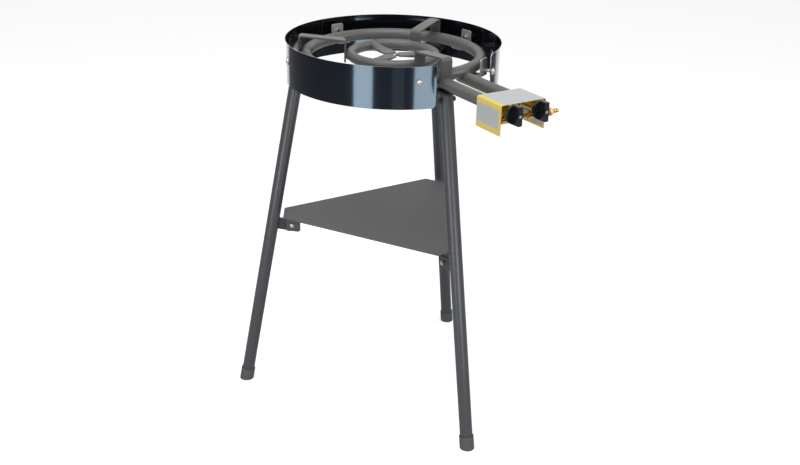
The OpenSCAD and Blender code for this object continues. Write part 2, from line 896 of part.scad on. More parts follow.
// A sheet folded over the taps, open at the front, the back and below
module valve_cover() {
    path = [
        [cover_right_x, cover_z - cover_h], [cover_right_x, cover_z],
        [cover_left_x, cover_z], [cover_left_x, cover_z - cover_h]];
    color("#f0d77a")
        difference() {
            forwards(cover_back_y, cover_l)
                polygon(bent_strip(path, cover_t, cover_bend));
            at_tap(feed_right_x)
                rail_line(cover_right_x - feed_right_x - 2 * cover_t)
                    cylinder(d = rail_d + 2 * slip, h = 3 * cover_t);
        }
}

// A bar that lies across the two feed tubes under the top of the cover
module cover_stay() {
    from = feed_z + feed_d / 2 + weld_gap;
    color("#6b6863")
        translate([feed_left_x - stay_end, -stay_y - stay_l, from])
            cube([feed_pitch + 2 * stay_end, stay_l, cover_z - cover_t - weld_gap - from]);
}

// A place on a tap's axis at the front face of its body: Z points forwards and Y points up
module at_tap(x) {
    translate([x, -tap_face, feed_z])
        rotate([90, 0, 0])
            children();
}

// The gas rail's line, seen from a tap, with Z to the right
module rail_line(x) {
    translate([x, -rail_drop, -rail_back])
        rotate([0, 90, 0])
            children();
}

// A brass body with a bore for the plug, a boss below it for each rail end and a thread for the jet
module tap_body(x) {
    color("#b58f45")
        at_tap(x)
            difference() {
                union() {
                    translate([0, 0, -tap_l])
                        cylinder(d = tap_d, h = tap_l);
                    rail_line(-boss_x)
                        cylinder(d = boss_d, h = 2 * boss_x);
                    translate([0, -rail_drop, -rail_back])
                        rotate([-90, 0, 0])
                            cylinder(d = boss_neck_d, h = rail_drop);
                }
                translate([0, 0, -plug_l])
                    cylinder(d = plug_bore_d, h = plug_l + over);
                translate([0, 0, -tap_l - over])
                    cylinder(d = jet_shank_d + 2 * slip, h = jet_bore_l + over);
                translate([0, 0, -tap_l])
                    cylinder(d = jet_neck_d, h = tap_l - plug_l + over);
                rail_line(rail_bore_in)
                    cylinder(d = rail_d + 2 * slip, h = boss_x);
                rail_line(-rail_bore_in - boss_x)
                    cylinder(d = rail_d + 2 * slip, h = boss_x);
                rail_line(-boss_x)
                    cylinder(d = port_d, h = 2 * boss_x);
                translate([0, -rail_drop, -rail_back])
                    rotate([-90, 0, 0])
                        cylinder(d = riser_d, h = rail_drop);
            }
}

module gas_rail() {
    from = rail_bore_in + slip;
    color("#c2a05a")
        at_tap(feed_left_x)
            rail_line(from)
                tube(rail_d, rail_wall, feed_pitch - 2 * from);
}

module rail_plug() {
    color("#b58f45")
        at_tap(feed_left_x)
            rail_line(-rail_bore_in - rail_plug_l) {
                cylinder(d = rail_d, h = rail_plug_l);
                translate([0, 0, -rail_plug_head])
                    hexagon(rail_plug_af, rail_plug_head);
            }
}

// One barb: a cone that a hose slides over, seen along the nozzle
module barb(l) {
    cylinder(d1 = barb_d, d2 = barb_root_d, h = l);
}

// The nozzle enters the right tap, its collar clamps the cover on the lock nut, and its neck ends in a hexagon
module hose_nozzle() {
    from = rail_bore_in + slip;
    collar = cover_right_x - feed_right_x + slip;
    hex = collar + nozzle_collar_t + nozzle_neck_l;
    end = hex + nozzle_hex_t + barb_l;
    color("#c2a05a")
        at_tap(feed_right_x)
            difference() {
                union() {
                    rail_line(from)
                        cylinder(d = rail_d, h = collar - from);
                    rail_line(collar)
                        cylinder(d = nozzle_collar_d, h = nozzle_collar_t);
                    rail_line(collar)
                        cylinder(d = rail_d, h = nozzle_collar_t + nozzle_neck_l);
                    rail_line(hex)
                        hexagon(nozzle_hex_af, nozzle_hex_t);
                    rail_line(hex + nozzle_hex_t)
                        cylinder(d = barb_root_d, h = barb_l);
                    for (i = [1:barbs])
                        rail_line(end - i * barb_l / (barbs + 1))
                            barb(barb_l / (barbs + 1));
                }
                rail_line(-over)
                    cylinder(d = nozzle_bore_d, h = end + 2 * over);
            }
}

module nozzle_locknut() {
    color("#b58f45")
        at_tap(feed_right_x)
            rail_line(boss_x + slip)
                difference() {
                    hexagon(nozzle_hex_af, nozzle_wall_in - boss_end_x - 2 * slip);
                    translate([0, 0, -over])
                        cylinder(d = rail_d + 2 * slip, h = cover_right_gap + 2 * over);
                }
}

// A brass jet that screws into the back of a tap and blows into a feed tube
module jet(x) {
    barrel_l = jet_gap - jet_hex_t + jet_in;
    color("#c2a05a")
        at_tap(x)
            translate([0, 0, -tap_l])
                difference() {
                    union() {
                        cylinder(d = jet_shank_d, h = jet_shank_l);
                        translate([0, 0, -jet_hex_t])
                            hexagon(jet_hex_af, jet_hex_t);
                        translate([0, 0, -jet_hex_t - barrel_l + jet_tip_l])
                            cylinder(d = jet_barrel_d, h = barrel_l - jet_tip_l);
                        translate([0, 0, -jet_hex_t - barrel_l])
                            cylinder(d1 = jet_tip_d, d2 = jet_barrel_d, h = jet_tip_l);
                    }
                    translate([0, 0, -jet_hex_t - barrel_l - over])
                        cylinder(d = jet_hole_d, h = barrel_l + jet_hex_t + jet_shank_l + 2 * over);
                    translate([0, 0, -jet_hex_t - barrel_l + jet_tip_l])
                        cylinder(d = jet_neck_d, h = barrel_l + jet_hex_t + jet_shank_l + over);
                }
}

// The gland nut keeps the spindle's collar in
module gland(x) {
    color("#b58f45")
        at_tap(x)
            difference() {
                hexagon(gland_af, gland_t);
                translate([0, 0, -over])
                    cylinder(d = spindle_d + 2 * run, h = gland_t + 2 * over);
            }
}

// The plug turns in the body. A pocket holds the spring, and a slot takes the spindle's tang
module plug(x) {
    length = plug_l - plug_back_gap - plug_front_gap;
    color("#c2a05a")
        at_tap(x)
            difference() {
                translate([0, 0, -plug_l + plug_back_gap])
                    cylinder(r = plug_r, h = length);
                translate([0, 0, -pocket_l])
                    cylinder(d = pocket_d, h = pocket_l + over);
                translate([-slot_l / 2, -slot_w / 2, -pocket_l - slot_depth])
                    cube([slot_l, slot_w, slot_depth + over]);
                translate([0, 0, -plug_l])
                    cylinder(d = port_d / 2, h = plug_l - pocket_l);
            }
}

// The spindle has a collar in the plug's pocket, a tang behind it and a flat for the knob in front
module spindle(x) {
    shaft_flat = spindle_d * (flat_share - 0.5);
    color("#c9cccf")
        at_tap(x)
            difference() {
                union() {
                    translate([0, 0, -shaft_back])
                        cylinder(d = spindle_d, h = spindle_top + shaft_back);
                    translate([0, 0, -collar_back])
                        cylinder(d = collar_d, h = collar_t);
                    translate([-spindle_d / 2, -tang_w / 2, -pocket_l - tang_l])
                        cube([spindle_d, tang_w, pocket_l + tang_l - shaft_back + over]);
                }
                translate([shaft_flat, -spindle_d, knob_back])
                    cube([spindle_d, spindle_d * 2, spindle_top]);
                translate([0, 0, spindle_top - screw_l])
                    cylinder(d = screw_d + 2 * slip, h = screw_l + over);
            }
}

// The return spring sits on the pocket's floor and pushes the spindle's collar
module spindle_spring(x) {
    length = pocket_l - collar_back;
    rise = length - spring_wire - 2 * slip;
    steps = 16;
    mean_r = (spring_d - spring_wire) / 2;
    color("#d5d7d9")
        at_tap(x)
            translate([0, 0, -pocket_l + slip + spring_wire / 2])
                coil(mean_r, spring_wire, rise, spring_turns, steps);
}

// A round wire wound into a coil, as one tube of six sides along the helix
module coil(r, wire, rise, turns, steps) {
    sides = 6;
    rings = turns * steps;
    centre = [for (i = [0:rings]) [r * cos(360 * i / steps), r * sin(360 * i / steps), rise * i / rings]];
    points = [for (i = [0:rings], k = [0:sides - 1])
        let (out = [cos(360 * i / steps), sin(360 * i / steps), 0])
        centre[i] + wire / 2 * (out * cos(360 * k / sides) + [0, 0, 1] * sin(360 * k / sides))];
    walls = [for (i = [0:rings - 1], k = [0:sides - 1])
        let (
            p = i * sides + k,
            q = i * sides + (k + 1) % sides)
        each [[p, q, q + sides], [p, q + sides, p + sides]]];
    first = [for (k = [0:sides - 1]) sides - 1 - k];
    last = [for (k = [0:sides - 1]) rings * sides + k];
    polyhedron(points, concat(walls, [first, last]), convexity = 10);
}

// A knob: a round skirt with a grip across it
module knob(x) {
    shaft_flat = spindle_d * (flat_share - 0.5) + slip;
    bore_r = spindle_d / 2 + slip;
    color("#1b1c1f")
        at_tap(x)
            difference() {
                union() {
                    translate([0, 0, knob_back])
                        cylinder(d = knob_d, h = knob_skirt_t);
                    intersection() {
                        translate([0, 0, knob_back])
                            cylinder(d = knob_d, h = knob_skirt_t + grip_h);
                        translate([-grip_w / 2, -knob_d, knob_back])
                            cube([grip_w, knob_d * 2, knob_skirt_t + grip_h]);
                    }
                }
                difference() {
                    translate([0, 0, knob_back - over])
                        cylinder(d = knob_recess_d, h = knob_skirt_t + over - edge_round);
                    translate([0, 0, knob_back + gland_t - knob_lift])
                        cylinder(d = spindle_d * 2, h = knob_skirt_t);
                }
                difference() {
                    translate([0, 0, knob_back - over])
                        cylinder(r = bore_r, h = spindle_top - knob_back + over + slip);
                    translate([shaft_flat, -spindle_d, knob_back + knob_skirt_t - edge_round])
                        cube([spindle_d, spindle_d * 2, spindle_top]);
                }
                translate([0, 0, spindle_top - over])
                    cylinder(d = screw_d + 2 * slip, h = knob_web + 2 * over);
                translate([0, 0, knob_top - screw_head_t])
                    cylinder(d = screw_head_d + 2 * slip, h = screw_head_t + over);
            }
}

module knob_screw(x) {
    color("#d5d7d9")
        at_tap(x) {
            translate([0, 0, knob_top - screw_head_t])
                cylinder(d = screw_head_d, h = screw_head_t);
            translate([0, 0, knob_top - screw_head_t - screw_l + over])
                cylinder(d = screw_d, h = screw_l - over);
        }
}

leg(leg_front_angle);  // leg_front
leg(leg_right_angle);  // leg_right
leg(leg_left_angle);  // leg_left
foot(leg_front_angle);  // foot_front
foot(leg_right_angle);  // foot_right
foot(leg_left_angle);  // foot_left
leg_mount(leg_front_angle);  // leg_mount_front
leg_mount(leg_right_angle);  // leg_mount_right
leg_mount(leg_left_angle);  // leg_mount_left
leg_bolts();
leg_nuts();
shelf();
shelf_bracket(leg_front_angle);  // shelf_bracket_front
shelf_bracket(leg_right_angle);  // shelf_bracket_right
shelf_bracket(leg_left_angle);  // shelf_bracket_left
shelf_bolts();
shelf_nuts();
outer_ring();
inner_ring();
feed_tube(feed_left_x, left_end_y, inner_ring_r, inner_tube_d);  // feed_tube_left
feed_tube(feed_right_x, right_end_y, outer_ring_r, outer_tube_d);  // feed_tube_right
pan_support_front();
pan_support(leg_right_angle, mount_top_z, inner_leg_z);  // pan_support_right
pan_support(leg_left_angle, mount_top_z, inner_leg_z);  // pan_support_left
guard_left();
guard_right();
guard_clip(0);  // guard_clip_front_left
guard_clip(1);  // guard_clip_left
guard_clip(2);  // guard_clip_back
guard_clip(3);  // guard_clip_right
guard_clip(4);  // guard_clip_front_right
guard_bolts();
guard_washers();
guard_nuts();
valve_cover();
cover_stay();
gas_rail();
rail_plug();
hose_nozzle();
nozzle_locknut();
tap_body(feed_left_x);  // tap_body_left
tap_body(feed_right_x);  // tap_body_right
jet(feed_left_x);  // jet_left
jet(feed_right_x);  // jet_right
gland(feed_left_x);  // gland_left
gland(feed_right_x);  // gland_right
plug(feed_left_x);  // plug_left
plug(feed_right_x);  // plug_right
spindle(feed_left_x);  // spindle_left
spindle(feed_right_x);  // spindle_right
spindle_spring(feed_left_x);  // spindle_spring_left
spindle_spring(feed_right_x);  // spindle_spring_right
knob(feed_left_x);  // knob_left
knob(feed_right_x);  // knob_right
knob_screw(feed_left_x);  // knob_screw_left
knob_screw(feed_right_x);  // knob_screw_right
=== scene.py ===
# %% [markdown]
# # A tripod gas burner
# The real object is a gas burner for big pans: two ring tubes in a rolled wind guard, on three
# screwed-on legs. The CAD model already holds every piece at its true size and place. This
# script gives the pieces their finish, rebuilds the ones whose shine needs a finer surface, and
# sets up the camera and lamps to photograph the result. It starts by loading the imported pieces.

import json
import math

import bmesh
import bpy
from mathutils import Matrix, Vector


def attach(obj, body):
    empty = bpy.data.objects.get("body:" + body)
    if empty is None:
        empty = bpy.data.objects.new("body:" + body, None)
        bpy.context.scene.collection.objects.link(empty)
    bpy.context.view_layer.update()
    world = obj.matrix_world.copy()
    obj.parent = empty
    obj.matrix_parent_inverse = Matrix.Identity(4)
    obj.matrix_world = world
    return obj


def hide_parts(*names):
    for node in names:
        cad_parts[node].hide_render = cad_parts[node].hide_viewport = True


MM = 0.001
MICRON = 0.000001

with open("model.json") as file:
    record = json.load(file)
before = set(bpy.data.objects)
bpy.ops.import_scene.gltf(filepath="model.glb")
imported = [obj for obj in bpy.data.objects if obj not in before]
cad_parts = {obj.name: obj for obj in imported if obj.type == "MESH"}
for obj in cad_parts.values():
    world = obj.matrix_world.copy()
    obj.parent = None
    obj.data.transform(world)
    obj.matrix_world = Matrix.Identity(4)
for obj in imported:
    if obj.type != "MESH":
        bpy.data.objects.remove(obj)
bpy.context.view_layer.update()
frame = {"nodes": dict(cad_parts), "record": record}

# %% [markdown]
# # The camera
# The photograph looks down on the burner from its front left. A camera can be placed with
# constraints or by hand, but plain numbers are easier to read: the direction it looks in, a
# slight roll, how far away it stands, the point of the object in the middle of the frame, and
# the focal length of its lens.

# %% Place the camera
LOOK_AZIMUTH = math.radians(32.7)
LOOK_DOWN = math.radians(23.92)
ROLL = 0.0253
DISTANCE = 2.4967
AIM_RIGHT = 0.0239
AIM_UP = 0.3864
LENS = 48.93


def place_camera():
    forward = Vector((math.sin(LOOK_AZIMUTH) * math.cos(LOOK_DOWN),
                      math.cos(LOOK_AZIMUTH) * math.cos(LOOK_DOWN), -math.sin(LOOK_DOWN)))
    right = Vector((math.cos(LOOK_AZIMUTH), -math.sin(LOOK_AZIMUTH), 0))
    up = right.cross(forward)
    side = right * math.cos(ROLL) + up * math.sin(ROLL)
    top = up * math.cos(ROLL) - right * math.sin(ROLL)
    data = bpy.data.cameras.new("camera")
    data.lens = LENS
    camera = bpy.data.objects.new("camera", data)
    camera.matrix_world = Matrix((side, top, -forward)).transposed().to_4x4()
    camera.location = right * AIM_RIGHT + Vector((0, 0, AIM_UP)) - forward * DISTANCE
    bpy.context.scene.collection.objects.link(camera)
    bpy.context.scene.camera = camera
    print("camera at", [round(x, 3) for x in camera.location])


place_camera()

# %% [markdown]
# # Node helpers
# Shaders and Geometry Nodes are both trees of nodes. Every tree here is built with the same two
# helpers: one adds a node with its settings and sockets, and one starts a group with named
# inputs and outputs, so that the trees below read like a recipe. A third one empties the tree
# that a material or the world comes with.

# %% Helpers that build node trees
def put(tree, kind, sockets=None, **settings):
    node = tree.nodes.new(kind)
    for name, value in settings.items():
        setattr(node, name, value)
    for name, value in (sockets or {}).items():
        if isinstance(value, bpy.types.NodeSocket):
            tree.links.new(value, node.inputs[name])
        else:
            node.inputs[name].default_value = value
    return node


def start_group(name, kind, inputs, outputs):
    tree = bpy.data.node_groups.new(name, kind)
    for label, socket_type, value in inputs:
        socket = tree.interface.new_socket(label, in_out="INPUT", socket_type=socket_type)
        if value is not None:
            socket.default_value = value
    for label, socket_type in outputs:
        tree.interface.new_socket(label, in_out="OUTPUT", socket_type=socket_type)
    return tree, tree.nodes.new("NodeGroupInput"), tree.nodes.new("NodeGroupOutput")


def shader_tree(owner):
    owner.use_nodes = True
    owner.node_tree.nodes.clear()
    return owner.node_tree


# %% [markdown]
# # Shared surface effects
# Paint, plate and rubber have little in common, but they vary in the same two ways. Each way is
# one shader group that any finish can use with its own numbers: a slow drift of the shade, and a
# fine grain for bumps and roughness. An image could hold these too, but a procedural pattern
# stays sharp at any distance and needs no file. Both start from one kind of noise, which can be
# stretched along a direction, as the marks of rolling and brushing are.

# %% The noise that both effects start from
def stretched_noise(tree, given, detail, roughness):
    place = put(tree, "ShaderNodeTexCoord")
    stretched = put(tree, "ShaderNodeVectorMath",
                    {0: place.outputs["Object"], 1: given.outputs["Stretch"]},
                    operation="MULTIPLY")
    noise = put(tree, "ShaderNodeTexNoise", {
        "Vector": stretched.outputs[0], "Scale": given.outputs["Scale"],
        "Detail": detail, "Roughness": roughness}).outputs["Fac"]
    centred = put(tree, "ShaderNodeMath", {0: noise, 1: 0.5}, operation="SUBTRACT")
    return noise, centred.outputs[0]


# %% Group: a slow drift of the shade
def make_drift_group():
    tree, given, out = start_group(
        "shade_drift", "ShaderNodeTree",
        [("Scale", "NodeSocketFloat", 12.0), ("Amount", "NodeSocketFloat", 0.1),
         ("Stretch", "NodeSocketVector", (1, 1, 1))],
        [("Shade", "NodeSocketFloat")])
    _, centred = stretched_noise(tree, given, detail=3.0, roughness=0.55)
    shade = put(tree, "ShaderNodeMath", {0: centred, 1: given.outputs["Amount"], 2: 1.0},
                operation="MULTIPLY_ADD")
    tree.links.new(shade.outputs[0], out.inputs["Shade"])
    return tree


drift_group = make_drift_group()


# %% Group: a fine grain
def make_grain_group():
    tree, given, out = start_group(
        "fine_grain", "ShaderNodeTree",
        [("Scale", "NodeSocketFloat", 900.0), ("Roughness", "NodeSocketFloat", 0.4),
         ("Spread", "NodeSocketFloat", 0.1), ("Stretch", "NodeSocketVector", (1, 1, 1))],
        [("Height", "NodeSocketFloat"), ("Roughness", "NodeSocketFloat")])
    height, centred = stretched_noise(tree, given, detail=2.0, roughness=0.6)
    rough = put(tree, "ShaderNodeMath",
                {0: centred, 1: given.outputs["Spread"], 2: given.outputs["Roughness"]},
                operation="MULTIPLY_ADD", use_clamp=True)
    tree.links.new(height, out.inputs["Height"])
    tree.links.new(rough.outputs[0], out.inputs["Roughness"])
    return tree


grain_group = make_grain_group()
print("shader groups", [group.name for group in (drift_group, grain_group)])

# %% [markdown]
# # The finishes
# All the solid finishes share one recipe: a colour that drifts, a roughness that follows the
# grain, and a bump of the same grain. What differs is in the numbers, which sit in one table
# under each finish's name. Numbers that are the same all over a surface, such as the coat, are
# set on the shader itself. The object is new, so no finish has wear.

# %% The recipe for a finish
def group_node(tree, group, **sockets):
    return put(tree, "ShaderNodeGroup", sockets, node_tree=group)


def make_finish(name, colour, roughness, metallic=0.0, specular=0.5, coat=0.0,
                coat_roughness=0.05, drift=(9.0, 0.12), grain=(900.0, 0.1),
                grain_stretch=(1, 1, 1), bump=4):
    material = bpy.data.materials.new(name)
    tree = shader_tree(material)
    out = put(tree, "ShaderNodeOutputMaterial")
    drifting = group_node(tree, drift_group, Scale=drift[0], Amount=drift[1])
    grained = group_node(tree, grain_group, Scale=grain[0], Spread=grain[1],
                         Roughness=roughness, Stretch=grain_stretch)
    shaded = put(tree, "ShaderNodeVectorMath", {0: colour, "Scale": drifting.outputs["Shade"]},
                 operation="SCALE")
    raised = put(tree, "ShaderNodeBump", {
        "Height": grained.outputs["Height"], "Distance": bump * MICRON, "Strength": 1.0})
    surface = put(tree, "ShaderNodeBsdfPrincipled", {
        "Metallic": metallic, "Specular IOR Level": specular, "Coat Weight": coat,
        "Coat Roughness": coat_roughness, "Roughness": grained.outputs["Roughness"],
        "Base Color": shaded.outputs[0], "Normal": raised.outputs["Normal"]})
    tree.links.new(surface.outputs[0], out.inputs["Surface"])
    material.diffuse_color = (*colour, 1)
    return material


# %% [markdown]
# In the table, drift is a scale and an amount, grain is a scale and how far it spreads the
# roughness, and bump is the height of the grain in microns. A colour is linear light, so it
# looks darker as a number than on the screen.

# %% Mix the finishes
FINISH_NUMBERS = {
    "leg_paint": dict(colour=(0.050, 0.053, 0.060), roughness=0.30, specular=0.55,
                      drift=(5.0, 0.06), grain=(900.0, 0.05), bump=3),
    "mount_paint": dict(colour=(0.022, 0.023, 0.026), roughness=0.42, drift=(20.0, 0.15)),
    "foot_rubber": dict(colour=(0.085, 0.086, 0.088), roughness=0.72, specular=0.35,
                        drift=(30.0, 0.2), grain=(1400.0, 0.15), bump=10),
    "shelf_paint": dict(colour=(0.130, 0.132, 0.135), roughness=0.60, specular=0.4,
                        drift=(2.5, 0.08), grain=(800.0, 0.06), bump=6),
    "burner_paint": dict(colour=(0.125, 0.123, 0.120), roughness=0.32, specular=0.55,
                         drift=(9.0, 0.16), grain=(800.0, 0.10), bump=7),
    "guard_enamel": dict(colour=(0.0024, 0.0028, 0.0042), roughness=0.11, specular=0.17,
                         drift=(6.0, 0.25), grain=(420.0, 0.03), grain_stretch=(1, 1, 0.05),
                         bump=0.6),
    "zinc": dict(colour=(0.46, 0.45, 0.43), roughness=0.46, metallic=0.75,
                 drift=(45.0, 0.30), grain=(700.0, 0.22), grain_stretch=(1, 1, 0.15)),
    "bright_steel": dict(colour=(0.66, 0.67, 0.68), roughness=0.24, metallic=1.0,
                         drift=(60.0, 0.12), grain=(900.0, 0.12), bump=2),
    "cover_paint": dict(colour=(0.90, 0.70, 0.155), roughness=0.36, coat=0.25,
                        coat_roughness=0.2, drift=(12.0, 0.06), grain=(900.0, 0.06), bump=3),
    "brass": dict(colour=(0.66, 0.46, 0.18), roughness=0.28, metallic=1.0,
                  drift=(50.0, 0.25), grain=(900.0, 0.15), grain_stretch=(1, 0.12, 1), bump=3),
    "knob_plastic": dict(colour=(0.010, 0.011, 0.013), roughness=0.16,
                         drift=(30.0, 0.2), grain=(900.0, 0.05), bump=1),
    # pale bluish metal on the guard's rim, a painted highlight along the sheet's edge
    "rim_painted_highlight": dict(colour=(0.62, 0.66, 0.72), roughness=0.28, metallic=1.0,
                     drift=(40.0, 0.2)),
    "bare_label": dict(colour=(0.56, 0.58, 0.60), roughness=0.42, drift=(260.0, 0.28), bump=1),
    # port_painted_shade: near-black discs whose colour is painted shade for the inside of the
    # flame ports
    "port_painted_shade": dict(colour=(0.008, 0.008, 0.008), roughness=0.8, specular=0.2),
    "weld_metal": dict(colour=(0.100, 0.098, 0.094), roughness=0.42, drift=(150.0, 0.5),
                       grain=(900.0, 0.2), bump=10),
}
FINISHES = {name: make_finish(name, **numbers) for name, numbers in FINISH_NUMBERS.items()}
print("finishes", len(FINISHES))

# %% [markdown]
# # Dressing the CAD pieces
# Most pieces already have the right shape, so they only need their finish. The record says which
# slot each node belongs to, and each slot has one finish. Sharp machined pieces catch the light
# better with a tiny rounded arris, so those are copied, merged, cleaned of triangles inside flat
# faces, and bevelled by a modifier. The copy then stands for its node.

# %% Give every node its finish
LEGS = ("front", "right", "left")
HANDS = ("left", "right")
CLIPS = ("front_left", "left", "back", "right", "front_right")


def each(names, places):
    return [f"{name}_{place}" for name in names.split() for place in places]


SLOT_NODES = {
    "leg_paint": each("leg shelf_bracket", LEGS),
    "mount_paint": each("leg_mount", LEGS) + ["leg_bolts", "leg_nuts"],
    "foot_rubber": each("foot", LEGS),
    "shelf_paint": ["shelf"],
    "burner_paint": (["outer_ring", "inner_ring", "cover_stay"] + each("feed_tube", HANDS)
                     + each("pan_support", LEGS)),
    "guard_enamel": each("guard", HANDS),
    "zinc": each("guard_clip", CLIPS),
    "bright_steel": (["shelf_bolts", "shelf_nuts", "guard_bolts", "guard_washers", "guard_nuts"]
                     + each("spindle spindle_spring knob_screw", HANDS)),
    "cover_paint": ["valve_cover"],
    "brass": (["gas_rail", "rail_plug", "hose_nozzle", "nozzle_locknut"]
              + each("tap_body jet gland plug", HANDS)),
    "knob_plastic": each("knob", HANDS),
}
slot_of = {node: slot for slot, nodes in SLOT_NODES.items() for node in nodes}
BODIES = frame["record"]["behaviour"]["bodies"]
body_of = {node: body for body, nodes in BODIES.items() for node in nodes}
for node, obj in frame["nodes"].items():
    obj.data.materials.clear()
    obj.data.materials.append(FINISHES[slot_of[node]])
print("dressed", len(frame["nodes"]), "nodes")


# %% Helpers that finish a new piece
def settle(obj, slot, replaces=(), body="root", materials=None, sharp=38):
    used = [face.material_index for face in obj.data.polygons]
    obj.data.materials.clear()
    for material in materials or [FINISHES[slot]]:
        obj.data.materials.append(material)
    for face, index in zip(obj.data.polygons, used):
        face.material_index = min(index, len(obj.data.materials) - 1)
        face.use_smooth = True
    obj.data.set_sharp_from_angle(angle=math.radians(sharp))
    if obj.name not in bpy.context.scene.collection.objects:
        bpy.context.scene.collection.objects.link(obj)
    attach(obj, body)
    if replaces:
        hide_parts(*replaces)
    return obj


def from_faces(name, points, faces):
    mesh = bpy.data.meshes.new(name)
    mesh.from_pydata([tuple(p) for p in points], [], faces)
    mesh.validate()
    return bpy.data.objects.new(name, mesh)


# %% Helper: copy a node and round its arrises
SAME_POINT = 2 * MICRON
SAME_PLANE = math.radians(0.5)
ARRIS_CORNER = 40


def bevelled_copy(node, width, segments):
    bm = bmesh.new()
    bm.from_mesh(frame["nodes"][node].data)
    bmesh.ops.remove_doubles(bm, verts=bm.verts, dist=SAME_POINT)
    bmesh.ops.dissolve_limit(bm, angle_limit=SAME_PLANE, verts=bm.verts, edges=bm.edges)
    mesh = bpy.data.meshes.new(node + "_finished")
    bm.to_mesh(mesh)
    bm.free()
    if "custom_normal" in mesh.attributes:
        mesh.attributes.remove(mesh.attributes["custom_normal"])
    obj = settle(bpy.data.objects.new(node + "_finished", mesh), slot_of[node], [node],
                 body_of[node], sharp=ARRIS_CORNER)
    bevel = obj.modifiers.new("arris", "BEVEL")
    bevel.width = width
    bevel.segments = segments
    bevel.limit_method = "ANGLE"
    bevel.angle_limit = math.radians(ARRIS_CORNER)
    bevel.harden_normals = True
    return obj


# %% Soften the arrises of the sheet, bar and moulded pieces
ARRIS_WIDTHS = (
    (each("pan_support", LEGS), 0.7), (each("guard_clip", CLIPS), 0.4), (["shelf"], 0.35),
    (each("shelf_bracket", LEGS), 0.4), (["valve_cover"], 0.3), (each("foot", LEGS), 0.8),
    (each("leg_mount", LEGS), 0.5), (each("knob", HANDS), 1.2))
WIDE_ARRIS = 1

finished = {node: bevelled_copy(node, width * MM, segments=3 if width > WIDE_ARRIS else 2)
            for nodes, width in ARRIS_WIDTHS for node in nodes}
print("bevelled", len(finished), "pieces")

# %% [markdown]
# # The wind guard
# The guard is one millimetre sheet rolled into two halves. It mirrors the whole studio, so any
# flat facet would show as a kink in the bright bands. Each half is therefore a fine grid rolled
# round the centre, whose end columns are cut back along a quarter circle for the rounded corners.
# Solidify gives the sheet its thickness, inwards, and a pale bluish rim: a painted edge
# highlight.

# %% Roll the two halves of the guard
GUARD_Z, RIM_Z = 752 * MM, 838 * MM
GUARD_T = 1 * MM
GUARD_CORNER = 9 * MM
LAP = 1.05 * MM
LEFT_R = 231 * MM
RIGHT_R = LEFT_R - LAP
LEFT_SPAN, RIGHT_SPAN = (88, 259.7), (-62, 102.7)
GUARD_ROWS, GUARD_COLUMNS, CORNER_COLUMNS = 10, 220, 10


def column_places(length):
    near = [GUARD_CORNER * (1 - math.cos(math.pi / 2 * i / CORNER_COLUMNS))
            for i in range(CORNER_COLUMNS)]
    middle = [GUARD_CORNER + (length - 2 * GUARD_CORNER) * i / GUARD_COLUMNS
              for i in range(GUARD_COLUMNS + 1)]
    return near + middle + [length - x for x in reversed(near)]


def corner_inset(from_end):
    short = GUARD_CORNER - min(from_end, GUARD_CORNER)
    return GUARD_CORNER - math.sqrt(max(GUARD_CORNER ** 2 - short ** 2, 0))


def roll_half(name, node, radius, span):
    start, end = (math.radians(degrees) for degrees in span)
    length = radius * (end - start)
    columns = column_places(length)
    points = []
    for along in columns:
        inset = corner_inset(min(along, length - along))
        angle = start + along / radius
        for row in range(GUARD_ROWS + 1):
            z = GUARD_Z + inset + (RIM_Z - GUARD_Z - 2 * inset) * row / GUARD_ROWS
            points.append((radius * math.cos(angle), radius * math.sin(angle), z))
    wide = GUARD_ROWS + 1
    faces = [(c * wide + r, (c + 1) * wide + r, (c + 1) * wide + r + 1, c * wide + r + 1)
             for c in range(len(columns) - 1) for r in range(GUARD_ROWS)]
    half = from_faces(name, points, faces)
    bpy.context.scene.collection.objects.link(half)
    # The rim's pale bluish metal is a painted highlight along the sheet's edge
    skins = [FINISHES["guard_enamel"], FINISHES["rim_painted_highlight"]]
    for skin in skins:
        half.data.materials.append(skin)
    solid = half.modifiers.new("sheet", "SOLIDIFY")
    solid.thickness = GUARD_T
    solid.offset = -1
    solid.material_offset_rim = 1
    shown = half.evaluated_get(bpy.context.evaluated_depsgraph_get())
    half.data = bpy.data.meshes.new_from_object(shown)
    half.modifiers.remove(solid)
    return settle(half, "guard_enamel", [node], materials=skins)


guard_halves = [roll_half("guard_half_left", "guard_left", LEFT_R, LEFT_SPAN),
                roll_half("guard_half_right", "guard_right", RIGHT_R, RIGHT_SPAN)]
print("guard halves", [len(half.data.polygons) for half in guard_halves], "faces")

# %% [markdown]
# # The ring burners
# Both rings are bent tubes, and the inner one has three spokes: tubes that are pinched flat
# towards the centre and cut to a point. A ring is a circle swept round a circle. A spoke is a
# row of cross-sections, each a rounded outline between a circle and a flat slot, joined into a
# skin, which gives the real one's soft change from round to flat.

# %% Build the two ring tubes
RING_Z = 803 * MM
OUTER_RING = (186 * MM, 12.5 * MM)
INNER_RING = (90 * MM, 11 * MM)
RING_STEPS, TUBE_SIDES = 192, 36


def turns(count):
    return [2 * math.pi * i / count for i in range(count)]


def loop_faces(rings, closed_ring=True):
    faces = []
    for i in range(rings if closed_ring else rings - 1):
        here, there = i * TUBE_SIDES, (i + 1) % rings * TUBE_SIDES
        for k in range(TUBE_SIDES):
            m = (k + 1) % TUBE_SIDES
            faces.append((here + k, there + k, there + m, here + m))
    return faces


def ring_points(radius, tube):
    return [((radius + tube * math.cos(t)) * math.cos(a),
             (radius + tube * math.cos(t)) * math.sin(a), RING_Z + tube * math.sin(t))
            for a in turns(RING_STEPS) for t in turns(TUBE_SIDES)]


outer_ring = from_faces("outer_ring_tube", ring_points(*OUTER_RING), loop_faces(RING_STEPS))
settle(outer_ring, "burner_paint", ["outer_ring"])

